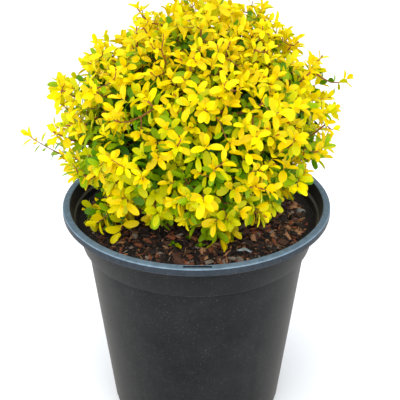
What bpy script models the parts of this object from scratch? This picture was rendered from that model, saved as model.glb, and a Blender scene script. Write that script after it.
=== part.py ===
"""A golden privet, grown as a round bush, in a black nursery pot.

Metres, +Z up. The origin is the middle of the pot's flat underside. The bush
stands on a short stem: one leader and two rings of boughs carry its masses of
foliage, and each mass keeps to its own cell of the crown.
"""
import math
import random
from typing import NamedTuple

import bmesh
import bpy
from mathutils import Matrix, Vector, noise
from mathutils.bvhtree import BVHTree

# Clearance kept between touching pieces
GAP = 0.0003

# Edges that turn more than this stay sharp on round pieces
SHARP_ANGLE = math.radians(30.0)

# Pot
RIM_RADIUS = 0.140
POT_HEIGHT = 0.250
RIM_WIDTH = 0.0072
RIM_FALL = 0.0006
RIM_ROUNDING = 0.0012
SKIRT_DROP = 0.0082
WALL = 0.002
COLLAR_TOP_RADIUS = 0.131
COLLAR_FOOT_RADIUS = 0.1215
COLLAR_DEPTH = 0.043
STACKING_LEDGE_DEPTH = 0.014
STACKING_LEDGE_WIDTH = 0.0015
BODY_TOP_RADIUS = 0.1168
BASE_RADIUS = 0.095
BASE_ROUNDING = 0.006
FLOOR_THICKNESS = 0.0025
POT_STEPS = 40

# Slot for a plant label, in the front of the rim
SLOT_LENGTH = 0.0265
SLOT_WIDTH = 0.0024
SLOT_RADIUS = 0.1356
SLOT_OFFSET = 0.001

# Drain holes, cut across the corner of the base
DRAIN_COUNT = 10
DRAIN_HEIGHT = 0.013
DRAIN_DEPTH = 0.020
DRAIN_DROP = 0.001

# Potting mix
SOIL_DEPTH_BELOW_RIM = 0.021
SOIL_DOME = 0.004
SOIL_LUMPS = 0.0016
SOIL_LUMP_SIZE = 0.017
SOIL_RINGS = 7
SOIL_STEPS = 24
STEM_SEAT_RADIUS = 0.020

# Short stem
TRUNK_HEIGHT = 0.058
TRUNK_FOOT_RADIUS = 0.0125
TRUNK_RADIUS = 0.0078
TRUNK_TIP_RADIUS = 0.0048
TRUNK_LEAN = 0.004
FLARE_HEIGHT = 0.006
TRUNK_RINGS = (0.0, 0.06, 0.14, 0.28, 0.46, 0.64, 0.82, 1.0)

# Crown: an ellipsoid over the pot
CROWN_CENTRE = Vector((0.0, 0.0, 0.345))
CROWN_RADIUS = 0.1415
CROWN_HALF_HEIGHT = 0.116


class Ring(NamedTuple):
    """A ring of masses round the crown, and of the boughs that carry them."""

    name: str
    count: int
    radius: float
    height: float
    first_azimuth: float
    core_radius: float
    bough_leaves_stem_at: float
    stagger: float
    bough_end_radius: float
    bough_end_height: float


RINGS = (
    Ring("lower", 7, 0.098, 0.310, 180.0, 0.019, 0.014, 0.009, 0.050, 0.286),
    Ring("upper", 5, 0.078, 0.385, -90.0, 0.022, 0.030, 0.000, 0.045, 0.350),
)
TOP_SITE = Vector((0.0, 0.0, 0.425))
TOP_CORE_RADIUS = 0.022
LEADER_HEIGHT = 0.082
LEADER_ROOT = 0.002
LEADER_BASE_RADIUS = 0.0036
LEADER_RINGS = (0.0, 0.33, 0.67, 1.0)
CORE_INSET = 0.12
CORE_SQUASH = (0.85, 1.0)
BOUGH_BASE_RADIUS = 0.0026
BOUGH_TIP_RADIUS = 0.0016
BOUGH_BEND = 0.4
BOUGH_POINTS = 5

# Bevel steps of the limbs: four sides, and two more for each step
TRUNK_BEVEL_STEPS = 4
BOUGH_BEVEL_STEPS = 1

# Shoots and leaves
SHOOT_COUNT = 110
LOWEST_SHOOT = -0.80
SHOOT_RAGGEDNESS = 0.006
SHOOT_JITTER = 0.25
LEAF_OVERHANG = 0.025
TWIG_BASE_RADIUS = 0.0020
TWIG_TAPER = 0.6
LEAF_LENGTH = 0.035
LEAF_WIDTH = 0.022
LEAF_THICKNESS = 0.0018
LEAF_SIZE_RANGE = (0.9, 1.1)
LEAF_ROOT_SINK = 0.0006
LEAF_NECK = 0.2
LEAF_WIDEST = 0.55
LEAF_CLEARANCE = 1.05

# Turn about the twig and share of full size that a leaf tries in order to fit
LEAF_TRIES = (
    (0.0, 1.0), (0.3, 1.0), (-0.3, 1.0), (0.6, 0.9), (-0.6, 0.9), (0.3, 0.75), (-0.3, 0.75))

# Pairs of leaves: distance back from the twig's tip, spread in degrees, size
LEAF_PAIRS = ((0.001, 52.0, 0.9), (0.006, 72.0, 1.05), (0.019, 82.0, 1.0))
CELL_MARGIN = 0.0004
PIECE_MARGIN = 0.0015
LIMB_MARGIN = 0.0010
BRANCHING_SHARES = (0.45, 0.7)
GOLDEN_ANGLE = math.pi * (3.0 - math.sqrt(5.0))
SEED = 11

# Long shoots that break the outline: azimuth, elevation, distance of the leaf
# tips from the middle of the crown
LONG_SHOOTS = (
    (180.0, -8.0, 0.180),
    (0.0, 14.0, 0.161),
    (-4.0, 27.0, 0.142),
    (176.0, 62.0, 0.128),
    (-60.0, 20.0, 0.158),
    (70.0, 30.0, 0.150),
    (118.0, 5.0, 0.160),
)

# Low tufts that hang over the potting mix: azimuth, radius, height
LOW_TUFTS = (
    (-69.0, 0.070, 0.250),
    (-149.0, 0.098, 0.246),
    (-168.0, 0.104, 0.247),
    (60.0, 0.085, 0.250),
    (120.0, 0.082, 0.249),
)


def clear_scene():
    """Remove whatever the scene holds."""
    for item in list(bpy.data.objects):
        bpy.data.objects.remove(item, do_unlink=True)


def new_collection(name, hidden=False):
    """Make a collection under the scene's own."""
    group = bpy.data.collections.new(name)
    group.hide_render = hidden
    bpy.context.scene.collection.children.link(group)
    return group


def new_material(name, colour, roughness):
    """Make a plain finish."""
    finish = bpy.data.materials.new(name)
    finish.use_nodes = True
    shader = finish.node_tree.nodes["Principled BSDF"]
    shader.inputs["Base Color"].default_value = (*colour, 1.0)
    shader.inputs["Roughness"].default_value = roughness
    return finish


def new_object(name, mesh, group, finish=None):
    """Put a mesh in a collection as a named object."""
    item = bpy.data.objects.new(name, mesh)
    group.objects.link(item)
    if finish is not None:
        item.data.materials.append(finish)
    return item


def mesh_from(bm, name):
    """Turn a bmesh into a mesh and free it."""
    mesh = bpy.data.meshes.new(name)
    bm.to_mesh(mesh)
    bm.free()
    return mesh


def evaluated_mesh(item, name):
    """Take the mesh that an object shows with its modifiers or bevel."""
    depsgraph = bpy.context.evaluated_depsgraph_get()
    depsgraph.update()
    mesh = bpy.data.meshes.new_from_object(item.evaluated_get(depsgraph))
    mesh.name = name
    return mesh


def add_boolean(item, operation, solver="EXACT"):
    """Add a Boolean modifier and return it."""
    cut = item.modifiers.new("cut", "BOOLEAN")
    cut.operation = operation
    cut.solver = solver
    return cut


def hide_cutter(cutter):
    """Keep a cutting shape out of renders."""
    cutter.hide_render = True
    cutter.display_type = "WIRE"


def direction_of(azimuth, elevation):
    """Unit vector from angles in degrees."""
    azimuth = math.radians(azimuth)
    elevation = math.radians(elevation)
    level = math.cos(elevation)
    return Vector((level * math.cos(azimuth), level * math.sin(azimuth), math.sin(elevation)))


def turned(name, profile, steps, group, finish):
    """Turn a profile of radius and height pairs about the vertical axis."""
    bm = bmesh.new()
    points = [bm.verts.new((radius, 0.0, height)) for radius, height in profile]
    for start, end in zip(points, points[1:]):
        bm.edges.new((start, end))
    outline = new_object(name + "_profile", mesh_from(bm, name + "_profile"), group)
    turn = outline.modifiers.new("turn", "SCREW")
    turn.axis = "Z"
    turn.angle = math.tau
    turn.steps = steps
    turn.render_steps = steps
    turn.use_merge_vertices = True
    turn.merge_threshold = 0.00001
    mesh = evaluated_mesh(outline, name)
    bpy.data.objects.remove(outline)
    mesh.shade_smooth()
    mesh.set_sharp_from_angle(angle=SHARP_ANGLE)
    return new_object(name, mesh, group, finish)


def inner_wall():
    """Radius and height down the inside of the pot, from rim to floor."""
    collar_foot = POT_HEIGHT - COLLAR_DEPTH
    collar_slope = (COLLAR_TOP_RADIUS - COLLAR_FOOT_RADIUS) / (COLLAR_DEPTH - SKIRT_DROP)
    ledge_height = POT_HEIGHT - STACKING_LEDGE_DEPTH
    ledge_radius = COLLAR_TOP_RADIUS - WALL - collar_slope * (STACKING_LEDGE_DEPTH - SKIRT_DROP)
    return [
        (RIM_RADIUS - RIM_WIDTH, POT_HEIGHT),
        (ledge_radius + STACKING_LEDGE_WIDTH, ledge_height),
        (ledge_radius, ledge_height - STACKING_LEDGE_WIDTH),
        (COLLAR_FOOT_RADIUS - WALL, collar_foot + WALL / 2),
        (BODY_TOP_RADIUS - WALL, collar_foot - WALL / 2),
        (BASE_RADIUS - WALL, FLOOR_THICKNESS + BASE_ROUNDING),
        (BASE_RADIUS - WALL - BASE_ROUNDING / 2, FLOOR_THICKNESS),
    ]


def pot_profile():
    """Outline of the pot's wall: up the inside, over the rim, down the outside."""
    top = POT_HEIGHT - RIM_FALL
    plate = POT_HEIGHT - WALL
    skirt_foot = POT_HEIGHT - SKIRT_DROP
    collar_foot = POT_HEIGHT - COLLAR_DEPTH
    profile = [(0.0, FLOOR_THICKNESS)] + inner_wall()[::-1]
    profile += [
        (RIM_RADIUS - RIM_ROUNDING, top),
        (RIM_RADIUS, top - RIM_ROUNDING),
        (RIM_RADIUS, skirt_foot),
        (RIM_RADIUS - WALL, skirt_foot),
        (RIM_RADIUS - WALL, plate - RIM_FALL),
        (COLLAR_TOP_RADIUS + WALL, plate - RIM_FALL),
        (COLLAR_TOP_RADIUS, skirt_foot),
        (COLLAR_FOOT_RADIUS, collar_foot),
        (BODY_TOP_RADIUS, collar_foot),
    ]
    for step in range(4):
        angle = math.radians(30.0 * step)
        radius = BASE_RADIUS - BASE_ROUNDING * (1.0 - math.cos(angle))
        profile.append((radius, BASE_ROUNDING * (1.0 - math.sin(angle))))
    profile.append((0.0, 0.0))
    return profile


def make_pot(group, cutters, finish):
    """The moulded pot, with its drain holes and the slot in its rim."""
    pot = turned("pot", pot_profile(), POT_STEPS, group, finish)

    bm = bmesh.new()
    bmesh.ops.create_cube(bm, size=1.0)
    bmesh.ops.scale(bm, vec=(SLOT_LENGTH, SLOT_WIDTH, SKIRT_DROP), verts=bm.verts)
    bmesh.ops.translate(bm, vec=(SLOT_OFFSET, -SLOT_RADIUS, POT_HEIGHT), verts=bm.verts)
    slot = new_object("slot_cutter", mesh_from(bm, "slot_cutter"), cutters)

    bm = bmesh.new()
    for hole in range(DRAIN_COUNT):
        azimuth = -math.pi / 2 + math.tau * hole / DRAIN_COUNT
        wedge = bmesh.ops.create_cone(
            bm, cap_ends=True, segments=3, depth=DRAIN_DEPTH,
            radius1=DRAIN_HEIGHT / 1.5, radius2=DRAIN_HEIGHT / 1.5)
        lying = Matrix.Rotation(math.pi / 2, 4, "X")
        outward = Matrix.Rotation(azimuth + math.pi / 2, 4, "Z")
        place = Matrix.Translation(
            direction_of(math.degrees(azimuth), 0.0) * BASE_RADIUS
            + Vector((0.0, 0.0, DRAIN_HEIGHT / 3 - DRAIN_DROP)))
        bmesh.ops.transform(bm, matrix=place @ outward @ lying, verts=wedge["verts"])
    holes = new_object("drain_cutter", mesh_from(bm, "drain_cutter"), cutters)

    for cutter in (slot, holes):
        hide_cutter(cutter)
        add_boolean(pot, "DIFFERENCE").object = cutter
    return pot


def taper(start_radius, end_radius, share):
    """Radius part of the way along a limb."""
    return start_radius + (end_radius - start_radius) * share


def soil_height(radius):
    """Height of the smooth surface of the potting mix."""
    edge = COLLAR_FOOT_RADIUS
    rise = SOIL_DOME * max(0.0, 1.0 - (radius / edge) ** 2)
    return POT_HEIGHT - SOIL_DEPTH_BELOW_RIM + rise


def make_soil(group, finish):
    """The potting mix: it fills the pot and has a lumpy, slightly domed top."""
    flats = math.cos(math.pi / POT_STEPS)
    wall = [(radius * flats - GAP, height) for radius, height in inner_wall()]
    edge_height = soil_height(COLLAR_FOOT_RADIUS)
    (high_radius, high), (low_radius, low) = wall[2], wall[3]
    edge_radius = taper(high_radius, low_radius, (high - edge_height) / (high - low))
    profile = []
    for ring in range(SOIL_RINGS + 1):
        radius = edge_radius * ring / SOIL_RINGS
        profile.append((radius, soil_height(radius)))
    foot_radius = wall[-1][0]
    profile += wall[3:-1] + [(foot_radius, FLOOR_THICKNESS + GAP), (0.0, FLOOR_THICKNESS + GAP)]
    soil = turned("potting_mix", profile, SOIL_STEPS, group, finish)
    for vertex in soil.data.vertices:
        radius = vertex.co.xy.length
        on_top = vertex.co.z > edge_height - GAP and radius < edge_radius - GAP
        if radius < STEM_SEAT_RADIUS:
            if on_top:
                vertex.co.z = soil_height(0.0)
        elif on_top:
            vertex.co.z += SOIL_LUMPS * noise.noise(vertex.co / SOIL_LUMP_SIZE)
    return soil


def trunk_point(height):
    """Point on the stem's axis, a height above its foot."""
    share = height / TRUNK_HEIGHT
    foot = Vector((0.0, 0.0, soil_height(0.0) + GAP))
    return foot + Vector((TRUNK_LEAN * share ** 2, 0.0, height))


def trunk_path(swell=0.0):
    """Points and radii of the short stem, from its flat foot to its tip."""
    path = []
    for share in TRUNK_RINGS:
        height = TRUNK_HEIGHT * share
        flare = math.exp(-height / FLARE_HEIGHT) * (TRUNK_FOOT_RADIUS - TRUNK_RADIUS)
        radius = taper(TRUNK_RADIUS, TRUNK_TIP_RADIUS, share) + flare
        path.append((trunk_point(height), radius + swell))
    tip, radius = path[-1]
    onward = (tip - path[-2][0]).normalized()
    path[-1] = (tip + onward * swell, radius)
    return path


def bough_path(start, end, hub):
    """Points and radii of a bough that leaves the stem and turns to its mass's hub."""
    bend = end - (hub - end).normalized() * (end - start).length * BOUGH_BEND
    path = []
    for index in range(BOUGH_POINTS):
        share = index / (BOUGH_POINTS - 1)
        point = start.lerp(bend, share).lerp(bend.lerp(end, share), share)
        path.append((point, taper(BOUGH_BASE_RADIUS, BOUGH_TIP_RADIUS, share)))
    return path


def limb_mesh(name, path, resolution):
    """Closed mesh of a round tapering limb along a path."""
    curve = bpy.data.curves.new(name, "CURVE")
    curve.dimensions = "3D"
    curve.bevel_depth = 1.0
    curve.bevel_resolution = resolution
    curve.use_fill_caps = True
    spline = curve.splines.new("POLY")
    spline.points.add(len(path) - 1)
    for point, (place, radius) in zip(spline.points, path):
        point.co = (*place, 1.0)
        point.radius = radius
    guide = new_object(name + "_guide", curve, bpy.context.scene.collection)
    mesh = evaluated_mesh(guide, name)
    bpy.data.objects.remove(guide)
    bm = bmesh.new()
    bm.from_mesh(mesh)
    bmesh.ops.remove_doubles(bm, verts=bm.verts, dist=0.00001)
    bmesh.ops.recalc_face_normals(bm, faces=bm.faces)
    bm.to_mesh(mesh)
    bm.free()
    mesh.shade_smooth()
    mesh.set_sharp_from_angle(angle=SHARP_ANGLE)
    return mesh


class Mass:
    """One mass of foliage: its site in the crown, core and bough."""

    def __init__(self, name, site, core_radius, bough_name, path):
        self.name = name
        self.site = site
        self.core_radius = core_radius
        self.bough_name = bough_name
        self.path = path
        self.targets = []
        tip, self.stem_radius = path[-1]
        onward = (tip - path[-2][0]).normalized()
        self.stem_start = tip + onward * GAP
        self.hub = tip + onward * (core_place(site) - tip).length


def core_place(site):
    """Middle of a mass's core, a little inward of its site."""
    return site.lerp(CROWN_CENTRE, CORE_INSET)


def plan_masses():
    """Lay out the masses and the boughs that carry them."""
    masses = []
    leader_start = trunk_point(TRUNK_HEIGHT - LEADER_ROOT)
    leader_end = leader_start + Vector((-TRUNK_LEAN, 0.0, LEADER_HEIGHT))
    leader = []
    for share in LEADER_RINGS:
        radius = taper(LEADER_BASE_RADIUS, BOUGH_TIP_RADIUS, share)
        leader.append((leader_start.lerp(leader_end, share), radius))
    masses.append(Mass("foliage_top", TOP_SITE, TOP_CORE_RADIUS, "bough_leader", leader))
    for ring in RINGS:
        for number in range(ring.count):
            outward = direction_of(ring.first_azimuth + 360.0 * number / ring.count, 0.0)
            site = outward * ring.radius + Vector((0.0, 0.0, ring.height))
            start = trunk_point(ring.bough_leaves_stem_at + ring.stagger * (number % 2))
            end = outward * ring.bough_end_radius + Vector((0.0, 0.0, ring.bough_end_height))
            path = bough_path(start, end, core_place(site))
            label = "%s_%d" % (ring.name, number + 1)
            masses.append(Mass("foliage_" + label, site, ring.core_radius, "bough_" + label, path))
    return masses


def crown_reach(direction):
    """Distance from the middle of the crown to its outline."""
    flat = direction.xy.length / CROWN_RADIUS
    tall = direction.z / CROWN_HALF_HEIGHT
    return 1.0 / math.hypot(flat, tall)


def shoot_tips(chance):
    """Where the shoots end: spread over the crown, then the long and low ones."""
    tips = []
    for azimuth, elevation, reach in LONG_SHOOTS:
        tips.append(CROWN_CENTRE + direction_of(azimuth, elevation) * (reach - LEAF_OVERHANG))
    for azimuth, radius, height in LOW_TUFTS:
        tips.append(direction_of(azimuth, 0.0) * radius + Vector((0.0, 0.0, height)))
    spacing = math.sqrt(4.0 * math.pi / SHOOT_COUNT)
    for index in range(SHOOT_COUNT):
        height = 1.0 - 2.0 * (index + 0.5) / SHOOT_COUNT
        height += chance.uniform(-SHOOT_JITTER, SHOOT_JITTER) * spacing
        angle = index * GOLDEN_ANGLE + chance.uniform(-SHOOT_JITTER, SHOOT_JITTER) * spacing
        jitter = chance.uniform(-SHOOT_RAGGEDNESS, SHOOT_RAGGEDNESS)
        if height < LOWEST_SHOOT:
            continue
        height = min(height, 1.0)
        level = math.sqrt(1.0 - height * height)
        direction = Vector((level * math.cos(angle), level * math.sin(angle), height))
        reach = crown_reach(direction) + jitter - LEAF_OVERHANG
        tip = CROWN_CENTRE + direction * reach
        if clear_of_pot(tip, LEAF_LENGTH / 4) and not near_any(tip, tips[:len(LONG_SHOOTS)]):
            tips.append(tip)
    return tips


def near_any(point, others):
    """Whether a point is crowded by one of the others."""
    return any((point - other).length < LEAF_WIDTH for other in others)


def clear_of_pot(point, margin):
    """Whether a point lies above the potting mix and clear of the rim."""
    radius = point.xy.length
    if radius > COLLAR_FOOT_RADIUS:
        return point.z > POT_HEIGHT + margin
    return point.z > soil_height(radius) + SOIL_LUMPS + margin


def in_cell(point, mass, masses, margin):
    """Whether a point lies in a mass's own cell of the crown."""
    for other in masses:
        if other is not mass:
            across = (other.site - mass.site).normalized()
            middle = (other.site + mass.site) / 2
            if (point - middle).dot(across) > -margin:
                return False
    return True


def fits(points, tree, mass, masses, obstacles):
    """Whether a piece keeps to its mass's cell, and clear of pot and limbs."""
    return all(
        in_cell(point, mass, masses, CELL_MARGIN) and clear_of_pot(point, PIECE_MARGIN)
        for point in points) and not any(tree.overlap(obstacle) for obstacle in obstacles)


def frame_along(direction, roll):
    """Rotation that turns +Z to a direction, with a roll about it."""
    turn = direction.to_track_quat("Z", "X").to_matrix().to_4x4()
    return turn @ Matrix.Rotation(roll, 4, "Z")


def tree_of(mesh, matrix, neck=0.0):
    """Search tree of a placed shape, its root end left out up to the neck."""
    corners = []
    for vertex in mesh.vertices:
        corner = vertex.co.copy()
        corner.z = max(corner.z, neck - 0.5) if neck else corner.z
        corners.append(matrix @ corner)
    return BVHTree.FromPolygons(corners, [face.vertices[:] for face in mesh.polygons])


def twig_matrix(node, tip, radius):
    """Place of a twig from a node to its tip."""
    size = Matrix.Diagonal((radius, radius, (tip - node).length, 1.0))
    return Matrix.Translation(node) @ frame_along((tip - node).normalized(), 0.0) @ size


def grow_twigs(mass, masses, obstacles, blank):
    """Join each shoot tip of a mass to the nearest point grown so far."""
    twigs = []
    nodes = [(mass.hub, TWIG_BASE_RADIUS)]
    for tip in sorted(mass.targets, key=lambda point: (point - mass.hub).length):
        choices = []
        for node, node_radius in nodes:
            turn = (tip - node).angle(tip - mass.hub, 0.0)
            choices.append(((tip - node).length * (1.0 + turn), node, node_radius))
        _, node, node_radius = min(choices, key=lambda choice: choice[0])
        place = twig_matrix(node, tip, node_radius)
        corners = [place @ vertex.co for vertex in blank.vertices]
        if fits(corners, tree_of(blank, place), mass, masses, obstacles):
            twigs.append((node, tip, node_radius))
            for share in BRANCHING_SHARES:
                nodes.append((node.lerp(tip, share), node_radius * taper(1.0, TWIG_TAPER, share)))
    return twigs


def leaf_matrix(base, axis, around, spread, length):
    """Place of a leaf that leaves the twig's axis at an angle."""
    outward = frame_along(axis, around) @ Vector((1.0, 0.0, 0.0))
    reach = axis * math.cos(spread) + outward * math.sin(spread)
    across = axis.cross(outward)
    centre = base + reach * (length / 2 - LEAF_ROOT_SINK)
    turn = Matrix((across, reach.cross(across), reach)).transposed().to_4x4()
    return Matrix.Translation(centre) @ turn


def leaf_outline(blank, place):
    """Corners of a placed leaf without its root, and points along its near edges."""
    corners = [place @ vertex.co for vertex in blank.vertices if vertex.co.z > LEAF_NECK - 0.5]
    root = place @ Vector((0.0, 0.0, -0.5))
    return corners + [root.lerp(corner, 0.5) for corner in corners]


def place_leaves(number, twigs, taken, mass, masses, obstacles, blank, chance):
    """Opposite pairs of leaves along the end of a twig, each pair crossing the last."""
    node, tip, _ = twigs[number]
    axis = (tip - node).normalized()
    roll = chance.uniform(0.0, math.pi)
    leaves = []
    for pair, (back, spread, size) in enumerate(LEAF_PAIRS):
        if back > (tip - node).length:
            continue
        for side in (0, 1):
            full_length = LEAF_LENGTH * size * chance.uniform(*LEAF_SIZE_RANGE)
            for turn, shrink in LEAF_TRIES:
                length = full_length * shrink
                around = roll + pair * math.pi / 2 + side * math.pi + turn
                place = leaf_matrix(tip - axis * back, axis, around, math.radians(spread), length)
                sides = Vector((LEAF_WIDTH * shrink, LEAF_THICKNESS, length))
                leaf = place @ Matrix.Diagonal((*sides, 1.0))
                wide = place @ Matrix.Diagonal((*sides * LEAF_CLEARANCE, 1.0))
                tree = tree_of(blank, wide, LEAF_NECK)
                if not fits(leaf_outline(blank, leaf), tree, mass, masses, obstacles):
                    continue
                if any(owner != number and tree.overlap(other) for owner, other in taken):
                    continue
                taken.append((-1, tree))
                leaves.append(leaf)
                break
    return leaves


def blank_meshes():
    """The shapes that twigs, leaves and cores are scaled from."""
    bm = bmesh.new()
    bmesh.ops.create_cone(
        bm, cap_ends=True, segments=3, radius1=1.0, radius2=TWIG_TAPER, depth=1.0)
    bmesh.ops.translate(bm, vec=(0.0, 0.0, 0.5), verts=bm.verts)
    twig = mesh_from(bm, "twig_blank")
    bm = bmesh.new()
    bmesh.ops.create_cone(
        bm, cap_ends=True, segments=8, radius1=1.0, radius2=1.0, depth=1.0)
    bmesh.ops.translate(bm, vec=(0.0, 0.0, 0.5), verts=bm.verts)
    stem = mesh_from(bm, "stem_blank")
    bm = bmesh.new()
    bmesh.ops.create_uvsphere(bm, u_segments=5, v_segments=2, radius=1.0)
    bmesh.ops.rotate(bm, matrix=Matrix.Rotation(-math.pi / 2, 3, "X"), verts=bm.verts)
    low = min(vertex.co.z for vertex in bm.verts)
    high = max(vertex.co.z for vertex in bm.verts)
    half_width = max(vertex.co.x for vertex in bm.verts)
    for vertex in bm.verts:
        height = (vertex.co.z - low) / (high - low)
        if abs(vertex.co.x) > half_width * 0.99 or abs(vertex.co.y) > 0.5:
            height = LEAF_WIDEST
        vertex.co = (vertex.co.x / half_width / 2, vertex.co.y / 2, height - 0.5)
    leaf = mesh_from(bm, "leaf_blank")
    bm = bmesh.new()
    bmesh.ops.create_uvsphere(bm, u_segments=7, v_segments=4, radius=1.0)
    core = mesh_from(bm, "core_blank")
    return twig, stem, leaf, core


def keep_one_body(mesh):
    """Fill sealed hollows and drop loose scraps: only the largest shell stays."""
    bm = bmesh.new()
    bm.from_mesh(mesh)
    bmesh.ops.triangulate(bm, faces=bm.faces)
    shells = []
    waiting = set(bm.faces)
    while waiting:
        stack = [waiting.pop()]
        shell = list(stack)
        while stack:
            for edge in stack.pop().edges:
                for face in edge.link_faces:
                    if face in waiting:
                        waiting.remove(face)
                        shell.append(face)
                        stack.append(face)
        shells.append(shell)
    shells.sort(key=len)
    for shell in shells[:-1]:
        bmesh.ops.delete(bm, geom=shell, context="FACES")
    closed = all(edge.is_manifold for edge in bm.edges)
    bm.to_mesh(mesh)
    bm.free()
    return closed


def make_mass(mass, masses, obstacles, blanks, group, finish, chance):
    """Fuse one mass: its stem, core, twigs and leaves."""
    twig_blank, stem_blank, leaf_blank, core_blank = blanks
    twigs = grow_twigs(mass, masses, obstacles, twig_blank)
    joined = bpy.data.collections.new(mass.name + "_pieces")
    bpy.context.scene.collection.children.link(joined)

    taken = []
    for number, twig in enumerate(twigs):
        piece = new_object("twig", twig_blank, joined)
        piece.matrix_world = twig_matrix(*twig)
        taken.append((number, tree_of(twig_blank, piece.matrix_world)))
    for number in range(len(twigs)):
        for place in place_leaves(number, twigs, taken, mass, masses, obstacles, leaf_blank, chance):
            piece = new_object("leaf", leaf_blank, joined)
            piece.matrix_world = place
    core = new_object("core", core_blank, joined)
    squash = chance.uniform(*CORE_SQUASH)
    core.matrix_world = (
        Matrix.Translation(mass.hub) @ Matrix.Rotation(chance.uniform(0.0, math.tau), 4, "Z")
        @ Matrix.Diagonal((mass.core_radius, mass.core_radius * squash, mass.core_radius * squash, 1.0)))

    stem = new_object(mass.name, stem_blank.copy(), group, finish)
    direction = mass.hub - mass.stem_start
    stem.data.transform(
        Matrix.Translation(mass.stem_start) @ frame_along(direction.normalized(), 0.0)
        @ Matrix.Diagonal((mass.stem_radius, mass.stem_radius, direction.length, 1.0)))
    for solver in ("EXACT", "MANIFOLD"):
        union = add_boolean(stem, "UNION", solver)
        union.operand_type = "COLLECTION"
        union.collection = joined
        mesh = evaluated_mesh(stem, mass.name)
        stem.modifiers.remove(union)
        if keep_one_body(mesh):
            break
    stem.data = mesh
    for piece in list(joined.objects):
        bpy.data.objects.remove(piece)
    bpy.data.collections.remove(joined)
    return stem


def build():
    """Build the potted bush."""
    clear_scene()
    group = new_collection("potted_privet")
    cutters = new_collection("cutters", hidden=True)
    plastic = new_material("black_polypropylene", (0.030, 0.034, 0.038), 0.5)
    compost = new_material("bark_compost", (0.075, 0.035, 0.018), 0.95)
    bark = new_material("privet_bark", (0.14, 0.09, 0.055), 0.85)
    leaf_tints = {
        "top": new_material("leaf_lemon", (0.90, 0.72, 0.01), 0.45),
        "upper": new_material("leaf_golden", (0.82, 0.66, 0.01), 0.45),
        "lower": new_material("leaf_lime", (0.60, 0.62, 0.02), 0.45),
    }

    pot = make_pot(group, cutters, plastic)
    soil = make_soil(group, compost)
    new_object("trunk", limb_mesh("trunk", trunk_path(), TRUNK_BEVEL_STEPS), group, bark)
    trunk_cutter = new_object(
        "trunk_cutter", limb_mesh("trunk_cutter", trunk_path(GAP), TRUNK_BEVEL_STEPS), cutters)
    hide_cutter(trunk_cutter)

    masses = plan_masses()
    obstacles = [tree_of(evaluated_mesh(item, "obstacle"), Matrix()) for item in (pot, soil)]
    for path in [trunk_path()] + [mass.path for mass in masses]:
        swollen = [(point, radius + LIMB_MARGIN) for point, radius in path]
        obstacles.append(tree_of(limb_mesh("obstacle", swollen, BOUGH_BEVEL_STEPS), Matrix()))
    for mass in masses:
        limb = limb_mesh(mass.bough_name, mass.path, BOUGH_BEVEL_STEPS)
        bough = new_object(mass.bough_name, limb, group, bark)
        add_boolean(bough, "DIFFERENCE").object = trunk_cutter

    chance = random.Random(SEED)
    for tip in shoot_tips(chance):
        nearest = min(masses, key=lambda mass: (mass.site - tip).length)
        nearest.targets.append(tip)
    blanks = blank_meshes()
    for mass in masses:
        tint = leaf_tints[mass.name.split("_")[1]]
        make_mass(mass, masses, obstacles, blanks, group, tint, chance)


build()
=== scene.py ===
"""Dresses a golden privet, grown as a round bush in a black nursery pot.

Run as a script, it models the finished pot, compost, bark, twigs and leaves on
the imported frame, and sets the stage. Metres, +Z up.
"""

import math
import random
from typing import NamedTuple

import bmesh
import bpy
import numpy as np
from bpy.props import FloatProperty, FloatVectorProperty, IntProperty, PointerProperty
from mathutils import Matrix, Vector, noise


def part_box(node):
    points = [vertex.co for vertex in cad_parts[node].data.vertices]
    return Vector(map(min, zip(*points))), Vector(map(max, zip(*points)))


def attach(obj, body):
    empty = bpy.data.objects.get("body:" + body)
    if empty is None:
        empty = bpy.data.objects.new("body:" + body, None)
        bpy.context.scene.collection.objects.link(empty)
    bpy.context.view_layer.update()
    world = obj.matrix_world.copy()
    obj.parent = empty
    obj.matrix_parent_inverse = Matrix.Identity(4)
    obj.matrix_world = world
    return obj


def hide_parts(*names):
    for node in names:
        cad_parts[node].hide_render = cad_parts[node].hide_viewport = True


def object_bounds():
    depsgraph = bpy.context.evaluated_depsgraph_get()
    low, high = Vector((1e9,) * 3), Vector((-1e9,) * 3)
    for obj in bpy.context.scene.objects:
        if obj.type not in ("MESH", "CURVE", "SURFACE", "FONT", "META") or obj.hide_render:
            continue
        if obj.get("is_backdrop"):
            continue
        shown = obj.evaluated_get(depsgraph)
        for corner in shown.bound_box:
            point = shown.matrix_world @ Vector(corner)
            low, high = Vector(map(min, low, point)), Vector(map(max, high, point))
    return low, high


bl_info = {
    "name": "Potted Golden Privet",
    "version": (1, 0, 0),
    "blender": (4, 5, 0),
    "location": "3D View > Sidebar > Privet",
    "description": "Models a golden privet bush with its compost and nursery pot",
    "category": "Add Mesh",
}

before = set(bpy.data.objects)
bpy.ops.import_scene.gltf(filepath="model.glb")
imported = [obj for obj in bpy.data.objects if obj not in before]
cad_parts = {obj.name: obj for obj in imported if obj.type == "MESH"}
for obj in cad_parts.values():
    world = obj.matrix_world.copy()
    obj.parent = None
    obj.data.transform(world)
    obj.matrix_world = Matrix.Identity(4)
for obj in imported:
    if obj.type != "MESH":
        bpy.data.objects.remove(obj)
CAD_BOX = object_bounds()
POT_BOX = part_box("pot")
BODY = "root"

SEED = 11
UP = Vector((0.0, 0.0, 1.0))
GOLDEN_ANGLE = math.pi * (3.0 - math.sqrt(5.0))

# Short stem
TRUNK_HEIGHT = 0.058
TRUNK_FOOT_RADIUS = 0.0125
TRUNK_RADIUS = 0.0078
TRUNK_TIP_RADIUS = 0.0048
TRUNK_LEAN = 0.004
FLARE_HEIGHT = 0.006

# Crown: an ellipsoid over the pot
CROWN_CENTRE = Vector((0.0, 0.0, 0.345))
CROWN_RADIUS = 0.1415
CROWN_HALF_HEIGHT = 0.116


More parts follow.
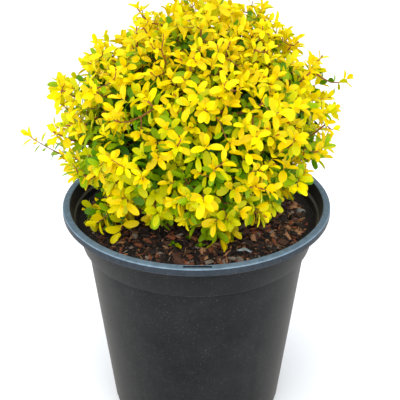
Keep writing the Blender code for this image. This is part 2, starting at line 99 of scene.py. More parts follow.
class Ring(NamedTuple):
    """A ring of masses round the crown, and of the boughs that carry them."""

    name: str
    count: int
    radius: float
    height: float
    first_azimuth: float
    bough_leaves_stem_at: float
    stagger: float
    bough_end_radius: float
    bough_end_height: float


RINGS = (
    Ring("lower", 7, 0.098, 0.310, 180.0, 0.014, 0.009, 0.050, 0.286),
    Ring("upper", 5, 0.078, 0.385, -90.0, 0.030, 0.000, 0.045, 0.350),
)
TOP_SITE = Vector((0.0, 0.0, 0.425))
LEADER_HEIGHT = 0.082
LEADER_ROOT = 0.002
LEADER_BASE_RADIUS = 0.0036
CORE_INSET = 0.12
BOUGH_BASE_RADIUS = 0.0026
BOUGH_TIP_RADIUS = 0.0016
BOUGH_BEND = 0.4
LIMB_POINTS = 25

# Main shoots, which the finer ones branch from
MAIN_SHOOTS = 110
LOWEST_SHOOT = -0.80
SHOOT_RAGGEDNESS = 0.006
SHOOT_JITTER = 0.25
SHOOT_OVERHANG = 0.008
SHOOT_CROWDING = 0.018
TWIG_BASE_RADIUS = 0.0013
FINE_TWIG_RADIUS = 0.0008
TWIG_TAPER = 0.6
BRANCHING_SHARES = (0.3, 0.5, 0.7, 0.9)

# Long shoots that break the outline: azimuth, elevation, distance of the leaf
# tips from the middle of the crown
LONG_SHOOTS = (
    (180.0, -8.0, 0.180),
    (0.0, 14.0, 0.161),
    (-4.0, 27.0, 0.142),
    (176.0, 62.0, 0.128),
    (-60.0, 20.0, 0.158),
    (70.0, 30.0, 0.150),
    (118.0, 5.0, 0.160),
)

# Low tufts that hang over the potting mix: azimuth, radius, height
LOW_TUFTS = (
    (-69.0, 0.070, 0.250),
    (-149.0, 0.098, 0.246),
    (-168.0, 0.104, 0.247),
    (60.0, 0.085, 0.250),
    (120.0, 0.082, 0.249),
)


class Shell(NamedTuple):
    """Finer shoots that end on a shell of the crown."""

    count_share: float
    reach: float
    overhang: float
    raggedness: float
    tints: tuple


# Leaf tints, from the youngest and best lit to the oldest and most shaded
TINTS = ("copper", "lemon", "gold", "yellow_lime", "lime", "green", "deep_green")
SHELLS = (
    Shell(1.00, 1.00, 0.005, 0.009, ()),
    Shell(0.70, 0.87, 0.006, 0.006, (3, 4, 4, 5)),
    Shell(0.50, 0.70, 0.006, 0.008, (5, 5, 6)),
    Shell(0.20, 0.45, 0.006, 0.010, (6,)),
)

# Each main shoot and the fine ones round it make a clump: the crown falls back
# between clumps, and under each
CLUMP_GAP = 0.018
CLUMP_GAP_DEPTH = 0.020
CLUMP_HALF_HEIGHT = 0.022
CLUMP_UNDERCUT = 0.020
LUMP_HEIGHT = 0.04
LUMPS_ROUND_CROWN = 2.6

# Where the crown is fuller or thinner than an ellipsoid: azimuth, elevation,
# change of reach, width in degrees
SWELLS = (
    (155.0, 40.0, -0.018, 30.0),
    (185.0, -6.0, 0.009, 20.0),
    (39.0, 52.0, 0.005, 20.0),
    (15.0, 26.0, -0.004, 16.0),
    (-15.0, -26.0, -0.008, 16.0),
    (-112.0, -45.0, -0.010, 16.0),
    (-55.0, -52.0, 0.005, 14.0),
)
TUFT_SHOOTS = 9
TUFT_WIDTH = 0.022
TUFT_HEIGHT = 0.014

# Pairs of leaves from the tip back: distance, spread in degrees, share of size
LEAF_PAIRS = (
    (0.0003, 14.0, 0.38),
    (0.0016, 38.0, 0.90),
    (0.0052, 60.0, 1.04),
    (0.0100, 74.0, 1.02),
    (0.0155, 82.0, 0.96),
    (0.0220, 84.0, 0.92),
    (0.0300, 84.0, 0.88),
    (0.0390, 84.0, 0.85),
)
PAIR_AGES = (0, 0, 0, 1, 2, 3, 3, 4)
LEAF_SIZE_RANGE = (0.80, 1.15)
LEAF_SPACE = 0.0032
LEAF_SIZE_AT_FOOT = 1.06
LEAF_SIZE_AT_TOP = 0.84
LIGHT_SEEKING = 0.9

# Room kept above the potting mix and the rim, by what grows there
MAIN_CLEARANCE = 0.009
TUFT_CLEARANCE = 0.006
FINE_CLEARANCE = 0.004
TWIG_CLEARANCE = 0.002
LEAF_CLEARANCE = 0.001

# How a twig finishes: shares of outward, onward and upward, and how far it bends
TWIG_OUTWARD = 0.8
TWIG_ONWARD = 0.6
TWIG_RISE = 0.95
TWIG_RISE_ON_TOP = 0.7
TWIG_BEND = 0.45
TWIG_STEPS = 4

# Crown levels in half heights from its middle, where the mix of tints changes
LOW_CROWN = -0.45
MIDDLE_CROWN = 0.1

# Shells of a greater reach are in the light; on the crown's top, directions that
# rise more than this, their shoots all take the outer tints
LIT_SHELL_REACH = 0.8
LIT_TOP = 0.5

# Shares of the shoots with a copper tip, and of the pairs that are aged or flat
COPPER_SHARE = 0.35
AGED_SHARE = 0.12
FLAT_SHARE = 0.4

# How far a leaf sinks below its direction, as a share of its length
LEAF_DROOP = 0.08

# Leaf forms, young, full-grown, flat and round: fold in degrees, curl, fullness
LEAF_FORMS = ((32.0, 0.04, 1.05), (26.0, 0.12, 0.95), (16.0, 0.18, 0.88), (12.0, 0.10, 0.78))
YOUNG_LEAF, GROWN_LEAF, FLAT_LEAF, ROUND_LEAF = range(len(LEAF_FORMS))

# Pot
POT_STEPS = 144
POT_FLOOR = 0.0025
POT_FOOT = 0.006
CORNER_RADIUS = 0.0009
CORNER_STEPS = 3
LEDGE_DEPTH = 0.014
LEDGE_WIDTH = 0.0015
SLOT_SIZE = (0.0265, 0.0024, 0.0082)
SLOT_OFFSET = 0.001
SLOT_RADIUS = 0.1356
DRAIN_HEIGHT = 0.013
DRAIN_DEPTH = 0.020
DRAIN_DROP = 0.001

# Bark chips: name, colour, size of the mottling in millimetres, share
CHIP_TINTS = (
    ("tan", "#B07E58", 2.0, 3),
    ("red_brown", "#84492C", 2.2, 5),
    ("brown", "#533526", 2.4, 8),
    ("dark", "#2A1D17", 2.4, 12),
    ("grey", "#837468", 2.2, 2),
)
CRUMB_LENGTHS = (0.0012, 0.0030)
CHIP_LENGTHS = (0.0030, 0.0115)
CHIP_WIDTHS = (0.25, 0.45, 0.7)
CHIP_BLANKS = 8
SHARD_CUTS = 4

# Lumps of the compost: height and spacing
SOIL_LUMPS = ((0.0016, 0.017), (0.0007, 0.005))

# Things that lie on the compost: azimuth and distance from the pot's axis
STONE_PLACE = (3.0, 0.112)
PALE_CHIP_PLACE = (-59.0, 0.091)
FALLEN_LEAF_PLACE = (-101.0, 0.080)
SEEDLING_PLACES = (
    (-108.0, 0.074), (-97.0, 0.057), (-87.0, 0.0725), (-171.0, 0.109), (-177.0, 0.112),
    (-174.0, 0.104), (22.0, 0.112), (17.0, 0.108), (-12.0, 0.077),
)
FIBRE_PLACE = (-14.0, 0.106)
FURTHEST_FIBRE = 0.113
PEBBLE_SIZE = (0.0052, 0.0045, 0.0024)
SPLINTER_SIZE = (0.0085, 0.0034, 0.0016)
FALLEN_LEAF_SIZE = (0.0060, 0.0095, 0.0095)

# Sockets of a Mix node that mixes colours
SHARE_IN, LOW_IN, HIGH_IN, MIXED_OUT = 0, 6, 7, 2

# Direction that the soft overhead light comes from, and the camera's sensor in
# millimetres with its sideways shift in sensor widths
KEY_FROM = (-0.15, -0.70, 1.0)
SENSOR_WIDTH = 36.0
LENS_SHIFT = 0.00875


def linear(code):
    """Linear colour of an sRGB hex code."""
    values = [int(code[start:start + 2], 16) / 255.0 for start in (1, 3, 5)]
    return tuple(v / 12.92 if v <= 0.04045 else ((v + 0.055) / 1.055) ** 2.4 for v in values)


def per_metre(millimetres):
    """Scale of a pattern whose features are this many millimetres apart."""
    return 1000.0 / millimetres


def colour_setting(name, code):
    """Property for a colour that is given as an sRGB hex code."""
    return FloatVectorProperty(name=name, subtype="COLOR", min=0.0, max=1.0, default=linear(code))


def length_setting(name, metres):
    """Property for a length."""
    return FloatProperty(name=name, default=metres, min=0.0, unit="LENGTH")


class PotSettings(bpy.types.PropertyGroup):
    """Sizes and colours of the nursery pot."""

    rim_radius: length_setting("Outer radius of the rim", POT_BOX[1].x)
    height: length_setting("Height of the rim over the ground", POT_BOX[1].z)
    rim_width: length_setting("Width of the rim's flat top", 0.0072)
    skirt_drop: length_setting("How far the rim turns down outside", 0.0082)
    wall: length_setting("Thickness of the moulded wall", 0.002)
    collar_depth: length_setting("Height of the collar under the rim", 0.043)
    collar_top_radius: length_setting("Radius of the collar under the rim", 0.131)
    collar_foot_radius: length_setting("Radius of the collar's lower edge", 0.1215)
    body_top_radius: length_setting("Radius of the body under the collar", 0.1168)
    base_radius: length_setting("Radius of the body at the ground", 0.095)
    drain_count: IntProperty(name="Drain holes", description="Holes round the base", default=10, min=0)
    # Painted sky reflection: the rim's top is the same black plastic, given a slate-blue colour for the sky
    # it mirrors
    plastic: colour_setting("Black polypropylene", "#101214")
    rim_sky_reflection: colour_setting("Weathered top of the rim", "#556978")
    # Painted highlight: a paler blue-grey along the rim's rounded outer edge
    rubbed_edge: colour_setting("Outer edge of the rim", "#6A7F8F")
    # Painted sky reflection: the outside of the rim is the same black plastic, given a bluish grey for the
    # sky it mirrors
    skirt: colour_setting("Outside of the rim", "#2A3139")
    dust: colour_setting("Dry dust and scuffs on the plastic", "#8C8A84")


class CompostSettings(bpy.types.PropertyGroup):
    """Sizes and colours of the potting mix."""

    depth_below_rim: length_setting("Drop from rim to compost", 0.021)
    dome: length_setting("Rise of the compost in the middle", 0.004)
    chip_count: IntProperty(name="Bark chips", description="Chips on the surface", default=2600, min=0)
    crumb_count: IntProperty(name="Crumbs", description="Crumbs among the chips", default=3200, min=0)
    fibre_count: IntProperty(name="Fibres", description="Loose fibres", default=70, min=0)
    humus: colour_setting("Dark compost under the chips", "#150E0A")


class BushSettings(bpy.types.PropertyGroup):
    """Sizes of the twigs and leaves."""

    shoot_count: IntProperty(name="Shoots", description="Fine shoots on the outer shell", default=760, min=10)
    leaf_length: length_setting("Length of a full-grown leaf", 0.0146)
    leaf_width: length_setting("Width of a full-grown leaf", 0.0072)
    bark: colour_setting("Grey-brown privet bark", "#6B5747")
    young_bark: colour_setting("Reddish bark of the twigs", "#8F5424")
    copper: colour_setting("Buds at the tips of shoots", "#B98422")
    lemon: colour_setting("Youngest leaves in full light", "#F9E904")
    gold: colour_setting("Leaves in full light", "#F6D802")
    yellow_lime: colour_setting("Leaves in half light", "#D2D204")
    lime: colour_setting("Older leaves", "#98BA08")
    green: colour_setting("Shaded leaves", "#5A8A06")
    deep_green: colour_setting("Leaves inside the bush", "#2F5A04")


class StageSettings(bpy.types.PropertyGroup):
    """Floor, lights and camera."""

    floor_size: length_setting("Side of the pale floor", 8.0)
    floor: colour_setting("Pale matte floor", "#F8F8F7")
    sky: colour_setting("Soft light from all round", "#EEF5FF")
    sky_strength: FloatProperty(name="Sky strength", description="Strength of that light", default=0.68)
    key_strength: FloatProperty(
        name="Key strength", description="Strength of the overhead light", default=3.9)
    key_spread: FloatProperty(
        name="Key spread", description="Width of the overhead light as seen from the plant",
        default=math.radians(110.0), subtype="ANGLE")
    camera_height: length_setting("Height of the camera", 0.667)
    camera_distance: length_setting("Camera in front of the pot's axis", 0.7976)
    camera_pitch: FloatProperty(
        name="Camera pitch", description="How far the camera looks down",
        default=math.radians(27.75), subtype="ANGLE")
    lens: FloatProperty(name="Lens", description="Focal length in millimetres", default=76.86)


def direction_of(azimuth, elevation):
    """Unit vector from angles in degrees."""
    azimuth = math.radians(azimuth)
    elevation = math.radians(elevation)
    level = math.cos(elevation)
    return Vector((level * math.cos(azimuth), level * math.sin(azimuth), math.sin(elevation)))


def blend(start, end, share):
    """Value part of the way from start to end."""
    return start + (end - start) * share


def new_object(name, mesh, materials=()):
    """Add an object with its materials to the scene."""
    item = bpy.data.objects.new(name, mesh)
    bpy.context.scene.collection.objects.link(item)
    for material in materials:
        item.data.materials.append(material)
    return item


def place_piece(item, slot, *nodes):
    """Fix a finished piece to the part's body, in place of CAD nodes."""
    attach(item, BODY)
    if nodes:
        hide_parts(*nodes)
    return item


def mesh_from(bm, name, smooth=True):
    """Turn a bmesh into a mesh and free it."""
    mesh = bpy.data.meshes.new(name)
    bm.to_mesh(mesh)
    bm.free()
    if smooth:
        mesh.shade_smooth()
    return mesh


def evaluated_mesh(item, name):
    """Mesh of an object as its modifiers or bevel leave it."""
    depsgraph = bpy.context.evaluated_depsgraph_get()
    depsgraph.update()
    mesh = bpy.data.meshes.new_from_object(item.evaluated_get(depsgraph))
    mesh.name = name
    return mesh


def add_node(tree, kind, settings=None, links=None):
    """Add a node, set its properties and inputs, and link its inputs to outputs."""
    node = tree.nodes.new(kind)
    for key, value in (settings or {}).items():
        if isinstance(key, str) and hasattr(node, key):
            setattr(node, key, value)
        else:
            node.inputs[key].default_value = value
    for key, output in (links or {}).items():
        tree.links.new(output, node.inputs[key])
    return node


def new_material(name):
    """Empty material, with its node tree and its output node."""
    material = bpy.data.materials.new(name)
    material.use_nodes = True
    tree = material.node_tree
    tree.nodes.clear()
    output = add_node(tree, "ShaderNodeOutputMaterial")
    return material, tree, output


def mottled(tree, place, low, high, millimetres):
    """Colour that drifts between two tones over patches of this size."""
    patches = add_node(
        tree, "ShaderNodeTexNoise",
        {"Scale": per_metre(millimetres), "Detail": 4.0, "Roughness": 0.6}, {"Vector": place})
    ramp = add_node(tree, "ShaderNodeValToRGB", {}, {"Fac": patches.outputs["Fac"]})
    for element, position, tone in zip(ramp.color_ramp.elements, (0.25, 0.75), (low, high)):
        element.position = position
        element.color = (*tone, 1.0)
    return ramp.outputs["Color"]


def surface_bump(tree, place, millimetres, depth):
    """Normal of a rough surface with grains of this size and depth."""
    grain = add_node(
        tree, "ShaderNodeTexNoise", {"Scale": per_metre(millimetres), "Detail": 3.0},
        {"Vector": place})
    bump = add_node(
        tree, "ShaderNodeBump", {"Distance": depth}, {"Height": grain.outputs["Fac"]})
    return bump.outputs["Normal"]


def scaled(colour, share):
    """A darker or lighter version of a colour."""
    return tuple(min(1.0, channel * share) for channel in colour)


def plastic_material(name, colour, dust, film, grit):
    """Injection-moulded black polypropylene: satin, with a film of dust, grit and scuffs."""
    material, tree, output = new_material(name)
    place = add_node(tree, "ShaderNodeTexCoord").outputs["Object"]
    base = mottled(tree, place, scaled(colour, 0.75), scaled(colour, 1.35), 6.0)

    # Dust lies thinly in cloudy patches a few centimetres wide
    mix_in = {"data_type": "RGBA", HIGH_IN: (*dust, 1.0)}
    clouds = add_node(
        tree, "ShaderNodeTexNoise",
        {"Scale": per_metre(45.0), "Detail": 10.0, "Roughness": 0.75}, {"Vector": place})
    cloud_share = add_node(
        tree, "ShaderNodeMapRange",
        {"From Min": 0.35, "From Max": 0.80, "To Max": film}, {"Value": clouds.outputs["Fac"]})
    coat = add_node(
        tree, "ShaderNodeMix", mix_in, {SHARE_IN: cloud_share.outputs["Result"], LOW_IN: base})

    # Grit, drawn a little coarser than real to show: spacing in millimetres, size
    for spacing, size in ((3.2, 0.16), (9.0, 0.07)):
        cells = add_node(
            tree, "ShaderNodeTexVoronoi", {"Scale": per_metre(spacing), "Randomness": 1.0},
            {"Vector": place})
        dots = add_node(
            tree, "ShaderNodeMapRange", {"From Min": size, "From Max": size * 0.35, "To Max": grit},
            {"Value": cells.outputs["Distance"]})
        patchy = add_node(
            tree, "ShaderNodeMath", {"operation": "MULTIPLY"},
            {0: dots.outputs["Result"], 1: clouds.outputs["Fac"]})
        coat = add_node(
            tree, "ShaderNodeMix", mix_in,
            {SHARE_IN: patchy.outputs["Value"], LOW_IN: coat.outputs[MIXED_OUT]})

    # Scuffs, where pots slide into each other
    stretch = add_node(
        tree, "ShaderNodeMapping", {"Scale": (1.0, 1.0, 0.10), "Rotation": (0.5, 0.4, 0.0)},
        {"Vector": place})
    streaks = add_node(
        tree, "ShaderNodeTexNoise",
        {"Scale": per_metre(1.4), "Detail": 2.0}, {"Vector": stretch.outputs["Vector"]})
    scuffs = add_node(
        tree, "ShaderNodeMapRange",
        {"From Min": 0.72, "From Max": 0.84, "To Max": grit / 2}, {"Value": streaks.outputs["Fac"]})
    coat = add_node(
        tree, "ShaderNodeMix", mix_in,
        {SHARE_IN: scuffs.outputs["Result"], LOW_IN: coat.outputs[MIXED_OUT]})

    normal = surface_bump(tree, place, 1.1, 0.00006)
    shader = add_node(
        tree, "ShaderNodeBsdfPrincipled",
        {"Roughness": 0.46, "IOR": 1.49, "Specular IOR Level": 0.08, "Sheen Weight": 0.10,
         "Sheen Roughness": 0.35, "Sheen Tint": (*linear("#E8D8C4"), 1.0)},
        {"Base Color": coat.outputs[MIXED_OUT], "Normal": normal})
    tree.links.new(shader.outputs["BSDF"], output.inputs["Surface"])
    return material


def earthy_material(name, colour, millimetres, roughness=0.9, depth=0.0003):
    """Bark, wood or compost: matte, mottled and rough to the touch."""
    material, tree, output = new_material(name)
    place = add_node(tree, "ShaderNodeTexCoord").outputs["Object"]
    base = mottled(tree, place, scaled(colour, 0.55), scaled(colour, 1.35), millimetres)
    normal = surface_bump(tree, place, millimetres / 2.5, depth)
    shader = add_node(
        tree, "ShaderNodeBsdfPrincipled", {"Roughness": roughness},
        {"Base Color": base, "Normal": normal})
    tree.links.new(shader.outputs["BSDF"], output.inputs["Surface"])
    return material


def bark_material(name, colour):
    """Thin privet bark: smooth grey-brown, with pale raised lenticels across it."""
    material, tree, output = new_material(name)
    place = add_node(tree, "ShaderNodeTexCoord").outputs["Object"]
    base = mottled(tree, place, scaled(colour, 0.6), scaled(colour, 1.3), 5.0)
    cells = add_node(
        tree, "ShaderNodeTexVoronoi", {"Scale": per_metre(3.0)}, {"Vector": place})
    pores = add_node(
        tree, "ShaderNodeMapRange",
        {"From Min": 0.16, "From Max": 0.08, "To Max": 0.6}, {"Value": cells.outputs["Distance"]})
    spotted = add_node(
        tree, "ShaderNodeMix", {"data_type": "RGBA", HIGH_IN: (*scaled(colour, 2.2), 1.0)},
        {SHARE_IN: pores.outputs["Result"], LOW_IN: base})
    bump = add_node(
        tree, "ShaderNodeBump", {"Distance": 0.0003}, {"Height": pores.outputs["Result"]})
    shader = add_node(
        tree, "ShaderNodeBsdfPrincipled", {"Roughness": 0.75},
        {"Base Color": spotted.outputs[MIXED_OUT], "Normal": bump.outputs["Normal"]})
    tree.links.new(shader.outputs["BSDF"], output.inputs["Surface"])
    return material


def leaf_material(name, colour, glow):
    """Thin waxy privet leaf: a soft shine on top, and light that comes through."""
    material, tree, output = new_material(name)
    shader = add_node(
        tree, "ShaderNodeBsdfPrincipled",
        {"Base Color": (*colour, 1.0), "Roughness": 0.40, "Specular IOR Level": 0.16})
    through = add_node(
        tree, "ShaderNodeBsdfTranslucent", {"Color": (*colour, 1.0)})
    both = add_node(
        tree, "ShaderNodeMixShader", {0: glow}, {1: shader.outputs["BSDF"], 2: through.outputs["BSDF"]})
    tree.links.new(both.outputs["Shader"], output.inputs["Surface"])
    return material


def rounded(profile):
    """Profile whose corners are turned into small arcs."""
    points = [Vector(point) for point in profile]
    result = [points[0]]
    for before, corner, after in zip(points, points[1:], points[2:]):
        reach_in = min(CORNER_RADIUS, (before - corner).length / 2)
        reach_out = min(CORNER_RADIUS, (after - corner).length / 2)
        start = corner + (before - corner).normalized() * reach_in
        end = corner + (after - corner).normalized() * reach_out
        for step in range(CORNER_STEPS + 1):
            share = step / CORNER_STEPS
            result.append(start.lerp(corner, share).lerp(corner.lerp(end, share), share))
    result.append(points[-1])
    return result


def spun(profile, steps):
    """Bmesh of a profile of radius and height turned about the vertical axis."""
    bm = bmesh.new()
    points = [bm.verts.new((point[0], 0.0, point[1])) for point in profile]
    edges = [bm.edges.new(pair) for pair in zip(points, points[1:])]
    bmesh.ops.spin(
        bm, geom=points + edges, cent=(0.0, 0.0, 0.0), axis=UP, angle=math.tau,
        steps=steps, use_merge=True, use_duplicate=False)
    bmesh.ops.remove_doubles(bm, verts=bm.verts, dist=0.000001)
    bmesh.ops.recalc_face_normals(bm, faces=bm.faces)
    return bm


# Pot


def pot_inner_wall(pot):
    """Radius and height down the inside of the pot, from rim to floor."""
    collar_foot = pot.height - pot.collar_depth
    slope = (pot.collar_top_radius - pot.collar_foot_radius) / (pot.collar_depth - pot.skirt_drop)
    ledge_height = pot.height - LEDGE_DEPTH
    ledge_radius = pot.collar_top_radius - pot.wall - slope * (LEDGE_DEPTH - pot.skirt_drop)
    return [
        (pot.rim_radius - pot.rim_width, pot.height),
        (ledge_radius + LEDGE_WIDTH, ledge_height),
        (ledge_radius, ledge_height - LEDGE_WIDTH),
        (pot.collar_foot_radius - pot.wall, collar_foot + pot.wall / 2),
        (pot.body_top_radius - pot.wall, collar_foot - pot.wall / 2),
        (pot.base_radius - pot.wall, POT_FLOOR + POT_FOOT),
        (pot.base_radius - pot.wall - POT_FOOT / 2, POT_FLOOR),
    ]


def pot_wall(pot):
    """Outline of the wall: up the inside, over the rim, down the outside."""
    rim_fall = 0.0006
    edge_width = 0.0006
    edge_drop = 0.0012
    top = pot.height - rim_fall
    plate = pot.height - pot.wall
    skirt_foot = pot.height - pot.skirt_drop
    collar_foot = pot.height - pot.collar_depth
    inner = pot_inner_wall(pot)
    profile = [(0.0, inner[-1][1])] + inner[::-1] + [
        (pot.rim_radius - edge_width, top),
        (pot.rim_radius, top - edge_drop),
        (pot.rim_radius, skirt_foot),
        (pot.rim_radius - pot.wall, skirt_foot),
        (pot.rim_radius - pot.wall, plate - rim_fall),
        (pot.collar_top_radius + pot.wall, plate - rim_fall),
        (pot.collar_top_radius, skirt_foot),
        (pot.collar_foot_radius, collar_foot),
        (pot.body_top_radius, collar_foot),
        (pot.base_radius, POT_FOOT),
        (pot.base_radius - POT_FOOT, 0.0),
        (0.0, 0.0),
    ]
    return rounded(profile)


def slot_cutter():
    """Block that cuts the slot for a plant label in the front of the rim."""
    bm = bmesh.new()
    bmesh.ops.create_cube(bm, size=1.0)
    bmesh.ops.scale(bm, vec=SLOT_SIZE, verts=bm.verts)
    bmesh.ops.translate(bm, vec=(SLOT_OFFSET, -SLOT_RADIUS, POT_BOX[1].z), verts=bm.verts)
    return new_object("slot_cutter", mesh_from(bm, "slot_cutter", smooth=False))


def drain_cutter(pot):
    """Wedges that cut the drain holes across the corner of the base."""
    size = DRAIN_HEIGHT / 1.5
    middle = UP * (DRAIN_HEIGHT / 3 - DRAIN_DROP)
    lying_down = Matrix.Rotation(math.pi / 2, 4, "X")
    bm = bmesh.new()
    for hole in range(pot.drain_count):
        azimuth = -90.0 + 360.0 * hole / pot.drain_count
        wedge = bmesh.ops.create_cone(
            bm, cap_ends=True, segments=3, depth=DRAIN_DEPTH, radius1=size, radius2=size)
        outward = Matrix.Rotation(math.radians(azimuth) + math.pi / 2, 4, "Z")
        place = Matrix.Translation(direction_of(azimuth, 0.0) * pot.base_radius + middle)
        bmesh.ops.transform(bm, matrix=place @ outward @ lying_down, verts=wedge["verts"])
    bmesh.ops.recalc_face_normals(bm, faces=bm.faces)
    return new_object("drain_cutter", mesh_from(bm, "drain_cutter", smooth=False))


def pot_finish(pot, face):
    """Number of the finish of a face of the pot, in the order of make_pot's finishes."""
    body, rim, rubbed_edge, skirt, dusty_ledge = range(5)
    skirt_width = 0.0026
    rim_depth = 0.0018
    edge_band_width = 0.0008
    lip_below = 0.0005
    lip_above = 0.0004
    ledge_reach = 0.0014
    step_reach = 0.0006
    faces_up = face.normal.z > 0.3
    radius = face.center.xy.length
    height = face.center.z
    skirt_foot = pot.height - pot.skirt_drop
    if height > skirt_foot - lip_below and radius > pot.rim_radius - skirt_width:
        if height > pot.height - rim_depth:
            # The thin band on the rim's outer top edge takes the painted highlight
            return rubbed_edge if radius > pot.rim_radius - edge_band_width else rim
        # Under the rim's top, the outside of the rim takes the painted bluish sky reflection; its lower lip
        # is dusty
        return skirt if height > skirt_foot + lip_above else dusty_ledge
    # Faces that look up on the rim's top take the painted slate-blue sky reflection
    if height > pot.height - rim_depth and faces_up:
        return rim
    ledge_middle = pot.height - LEDGE_DEPTH - LEDGE_WIDTH / 3
    if abs(height - ledge_middle) < ledge_reach and radius < pot.collar_top_radius and faces_up:
        return dusty_ledge
    collar_foot = pot.height - pot.collar_depth
    on_step = abs(height - collar_foot) < step_reach and radius > pot.collar_foot_radius - edge_band_width
    return dusty_ledge if on_step else body


def make_pot(pot):
    """Moulded pot, with the slot in its rim and its drain holes."""
    finishes = (
        plastic_material("moulded_black_polypropylene", pot.plastic, pot.dust, 0.05, 0.5),
        # Rim's top: the black plastic with a painted slate-blue sky reflection
        plastic_material("weathered_rim_polypropylene", pot.rim_sky_reflection, pot.dust, 0.15, 0.2),
        # Rim's outer edge: the black plastic with a painted highlight
        plastic_material("rubbed_edge_polypropylene", pot.rubbed_edge, pot.dust, 0.2, 0.2),
        # Outside of the rim: the black plastic with a painted bluish sky reflection
        plastic_material("skirt_polypropylene", pot.skirt, pot.dust, 0.06, 0.4),
        plastic_material("dusty_ledge_polypropylene", scaled(pot.dust, 0.25), pot.dust, 0.6, 0.8),
    )
    shell = new_object("pot_blank", mesh_from(spun(pot_wall(pot), POT_STEPS), "pot_blank"))
    cutters = [slot_cutter(), drain_cutter(pot)]
    for cutter in cutters:
        cut = shell.modifiers.new("cut", "BOOLEAN")
        cut.operation = "DIFFERENCE"
        cut.object = cutter
    mesh = evaluated_mesh(shell, "pot_moulded")
    for item in [shell] + cutters:
        bpy.data.objects.remove(item)
    mesh.shade_smooth()
    mesh.set_sharp_from_angle(angle=math.radians(35.0))
    piece = new_object("pot_moulded", mesh, finishes)
    for face in mesh.polygons:
        face.material_index = pot_finish(pot, face)
    return place_piece(piece, "black_plastic", "pot")


# Compost


def soil_height(radius):
    """Height of the smooth surface of the potting mix."""
    compost = bpy.context.scene.privet_compost
    pot = bpy.context.scene.privet_pot
    rise = compost.dome * max(0.0, 1.0 - (radius / pot.collar_foot_radius) ** 2)
    return pot.height - compost.depth_below_rim + rise


def lumpy_height(place):
    """Height of the compost with its lumps, over a point of the level plane."""
    point = Vector((place[0], place[1], 0.0))
    lumps = sum(height * noise.noise(point / spacing) for height, spacing in SOIL_LUMPS)
    return soil_height(point.length) + lumps


def on_soil(azimuth, radius, lift=0.0):
    """Point on the compost."""
    point = direction_of(azimuth, 0.0) * radius
    return Vector((point.x, point.y, lumpy_height(point) + lift))


def make_soil_bed(pot, compost):
    """The body of the potting mix, lumpy on top, filling the pot."""
    gap = 0.0003
    wall = [(radius - gap, height) for radius, height in pot_inner_wall(pot)]
    edge_height = soil_height(pot.collar_foot_radius)
    (high_radius, high), (low_radius, low) = wall[2], wall[3]
    edge_radius = blend(high_radius, low_radius, (high - edge_height) / (high - low))
    rings = 48
    profile = [(edge_radius * ring / rings, edge_height) for ring in range(rings + 1)]
    profile += wall[3:-1] + [(wall[-1][0], POT_FLOOR + gap), (0.0, POT_FLOOR + gap)]
    bm = spun(profile, 128)
    for vertex in bm.verts:
        if vertex.co.z > edge_height - gap:
            vertex.co.z = lumpy_height(vertex.co)
    humus = earthy_material("dark_humus", compost.humus, 4.0, roughness=0.95, depth=0.0009)
    piece = new_object("compost_bed", mesh_from(bm, "compost_bed"), (humus,))
    return place_piece(piece, "bark_compost", "potting_mix")


def shard_blank(chance):
    """Angular splinter of unit size: corner points and three-cornered faces."""
    bm = bmesh.new()
    bmesh.ops.create_cube(bm, size=1.0)
    for _ in range(SHARD_CUTS):
        away = Vector([chance.uniform(-1.0, 1.0) for _ in range(3)]).normalized()
        cut = bmesh.ops.bisect_plane(
            bm, geom=bm.verts[:] + bm.edges[:] + bm.faces[:], dist=0.0001,
            plane_co=away * chance.uniform(0.28, 0.45), plane_no=away, clear_outer=True)
        edges = [item for item in cut["geom_cut"] if isinstance(item, bmesh.types.BMEdge)]
        bmesh.ops.edgenet_fill(bm, edges=edges)
    bmesh.ops.triangulate(bm, faces=bm.faces)
    bmesh.ops.recalc_face_normals(bm, faces=bm.faces)
    for vertex in bm.verts:
        vertex.co *= chance.uniform(0.9, 1.15)
    return blank_of(bm)


def blank_of(bm):
    """Corner points and faces of a bmesh, which is freed."""
    bm.verts.index_update()
    corners = np.array([vertex.co for vertex in bm.verts])
    faces = np.array([[vertex.index for vertex in face.verts] for face in bm.faces])
    bm.free()
    return corners, faces


def joined_mesh(name, groups, smooth=False):
    """One mesh from many placed copies: groups of corners, faces, matrices, tint numbers."""
    all_corners = []
    all_faces = []
    all_tints = []
    count = 0
    for corners, faces, places, tints in groups:
        if not len(places):
            continue
        matrices = np.array(places, float)
        placed = np.einsum("nij,vj->nvi", matrices[:, :3, :3], corners) + matrices[:, None, :3, 3]
        starts = count + np.arange(len(places))[:, None, None] * len(corners)
        all_corners.append(placed.reshape(-1, 3))
        all_faces.append((faces[None] + starts).reshape(-1, faces.shape[1]))
        all_tints.append(np.repeat(np.array(tints, np.int32), len(faces)))
        count += len(places) * len(corners)
    mesh = bpy.data.meshes.new(name)
    points = np.concatenate(all_corners).astype(np.float32)
    faces = np.concatenate(all_faces).astype(np.int32)
    mesh.vertices.add(len(points))
    mesh.vertices.foreach_set("co", points.ravel())
    mesh.loops.add(faces.size)
    mesh.loops.foreach_set("vertex_index", faces.ravel())
    mesh.polygons.add(len(faces))
    mesh.polygons.foreach_set("loop_start", np.arange(len(faces), dtype=np.int32) * faces.shape[1])
    mesh.update(calc_edges=True)
    mesh.polygons.foreach_set("material_index", np.concatenate(all_tints))
    if smooth:
        mesh.shade_smooth()
    mesh.validate()
    return mesh


def lying(place, turn, tilt, roll, size):
    """Place of a piece that lies on the compost, turned and tilted."""
    turned = Matrix.Rotation(turn, 4, "Z") @ Matrix.Rotation(tilt, 4, "Y") @ Matrix.Rotation(roll, 4, "X")
    return Matrix.Translation(place) @ turned @ Matrix.Diagonal((*size, 1.0))


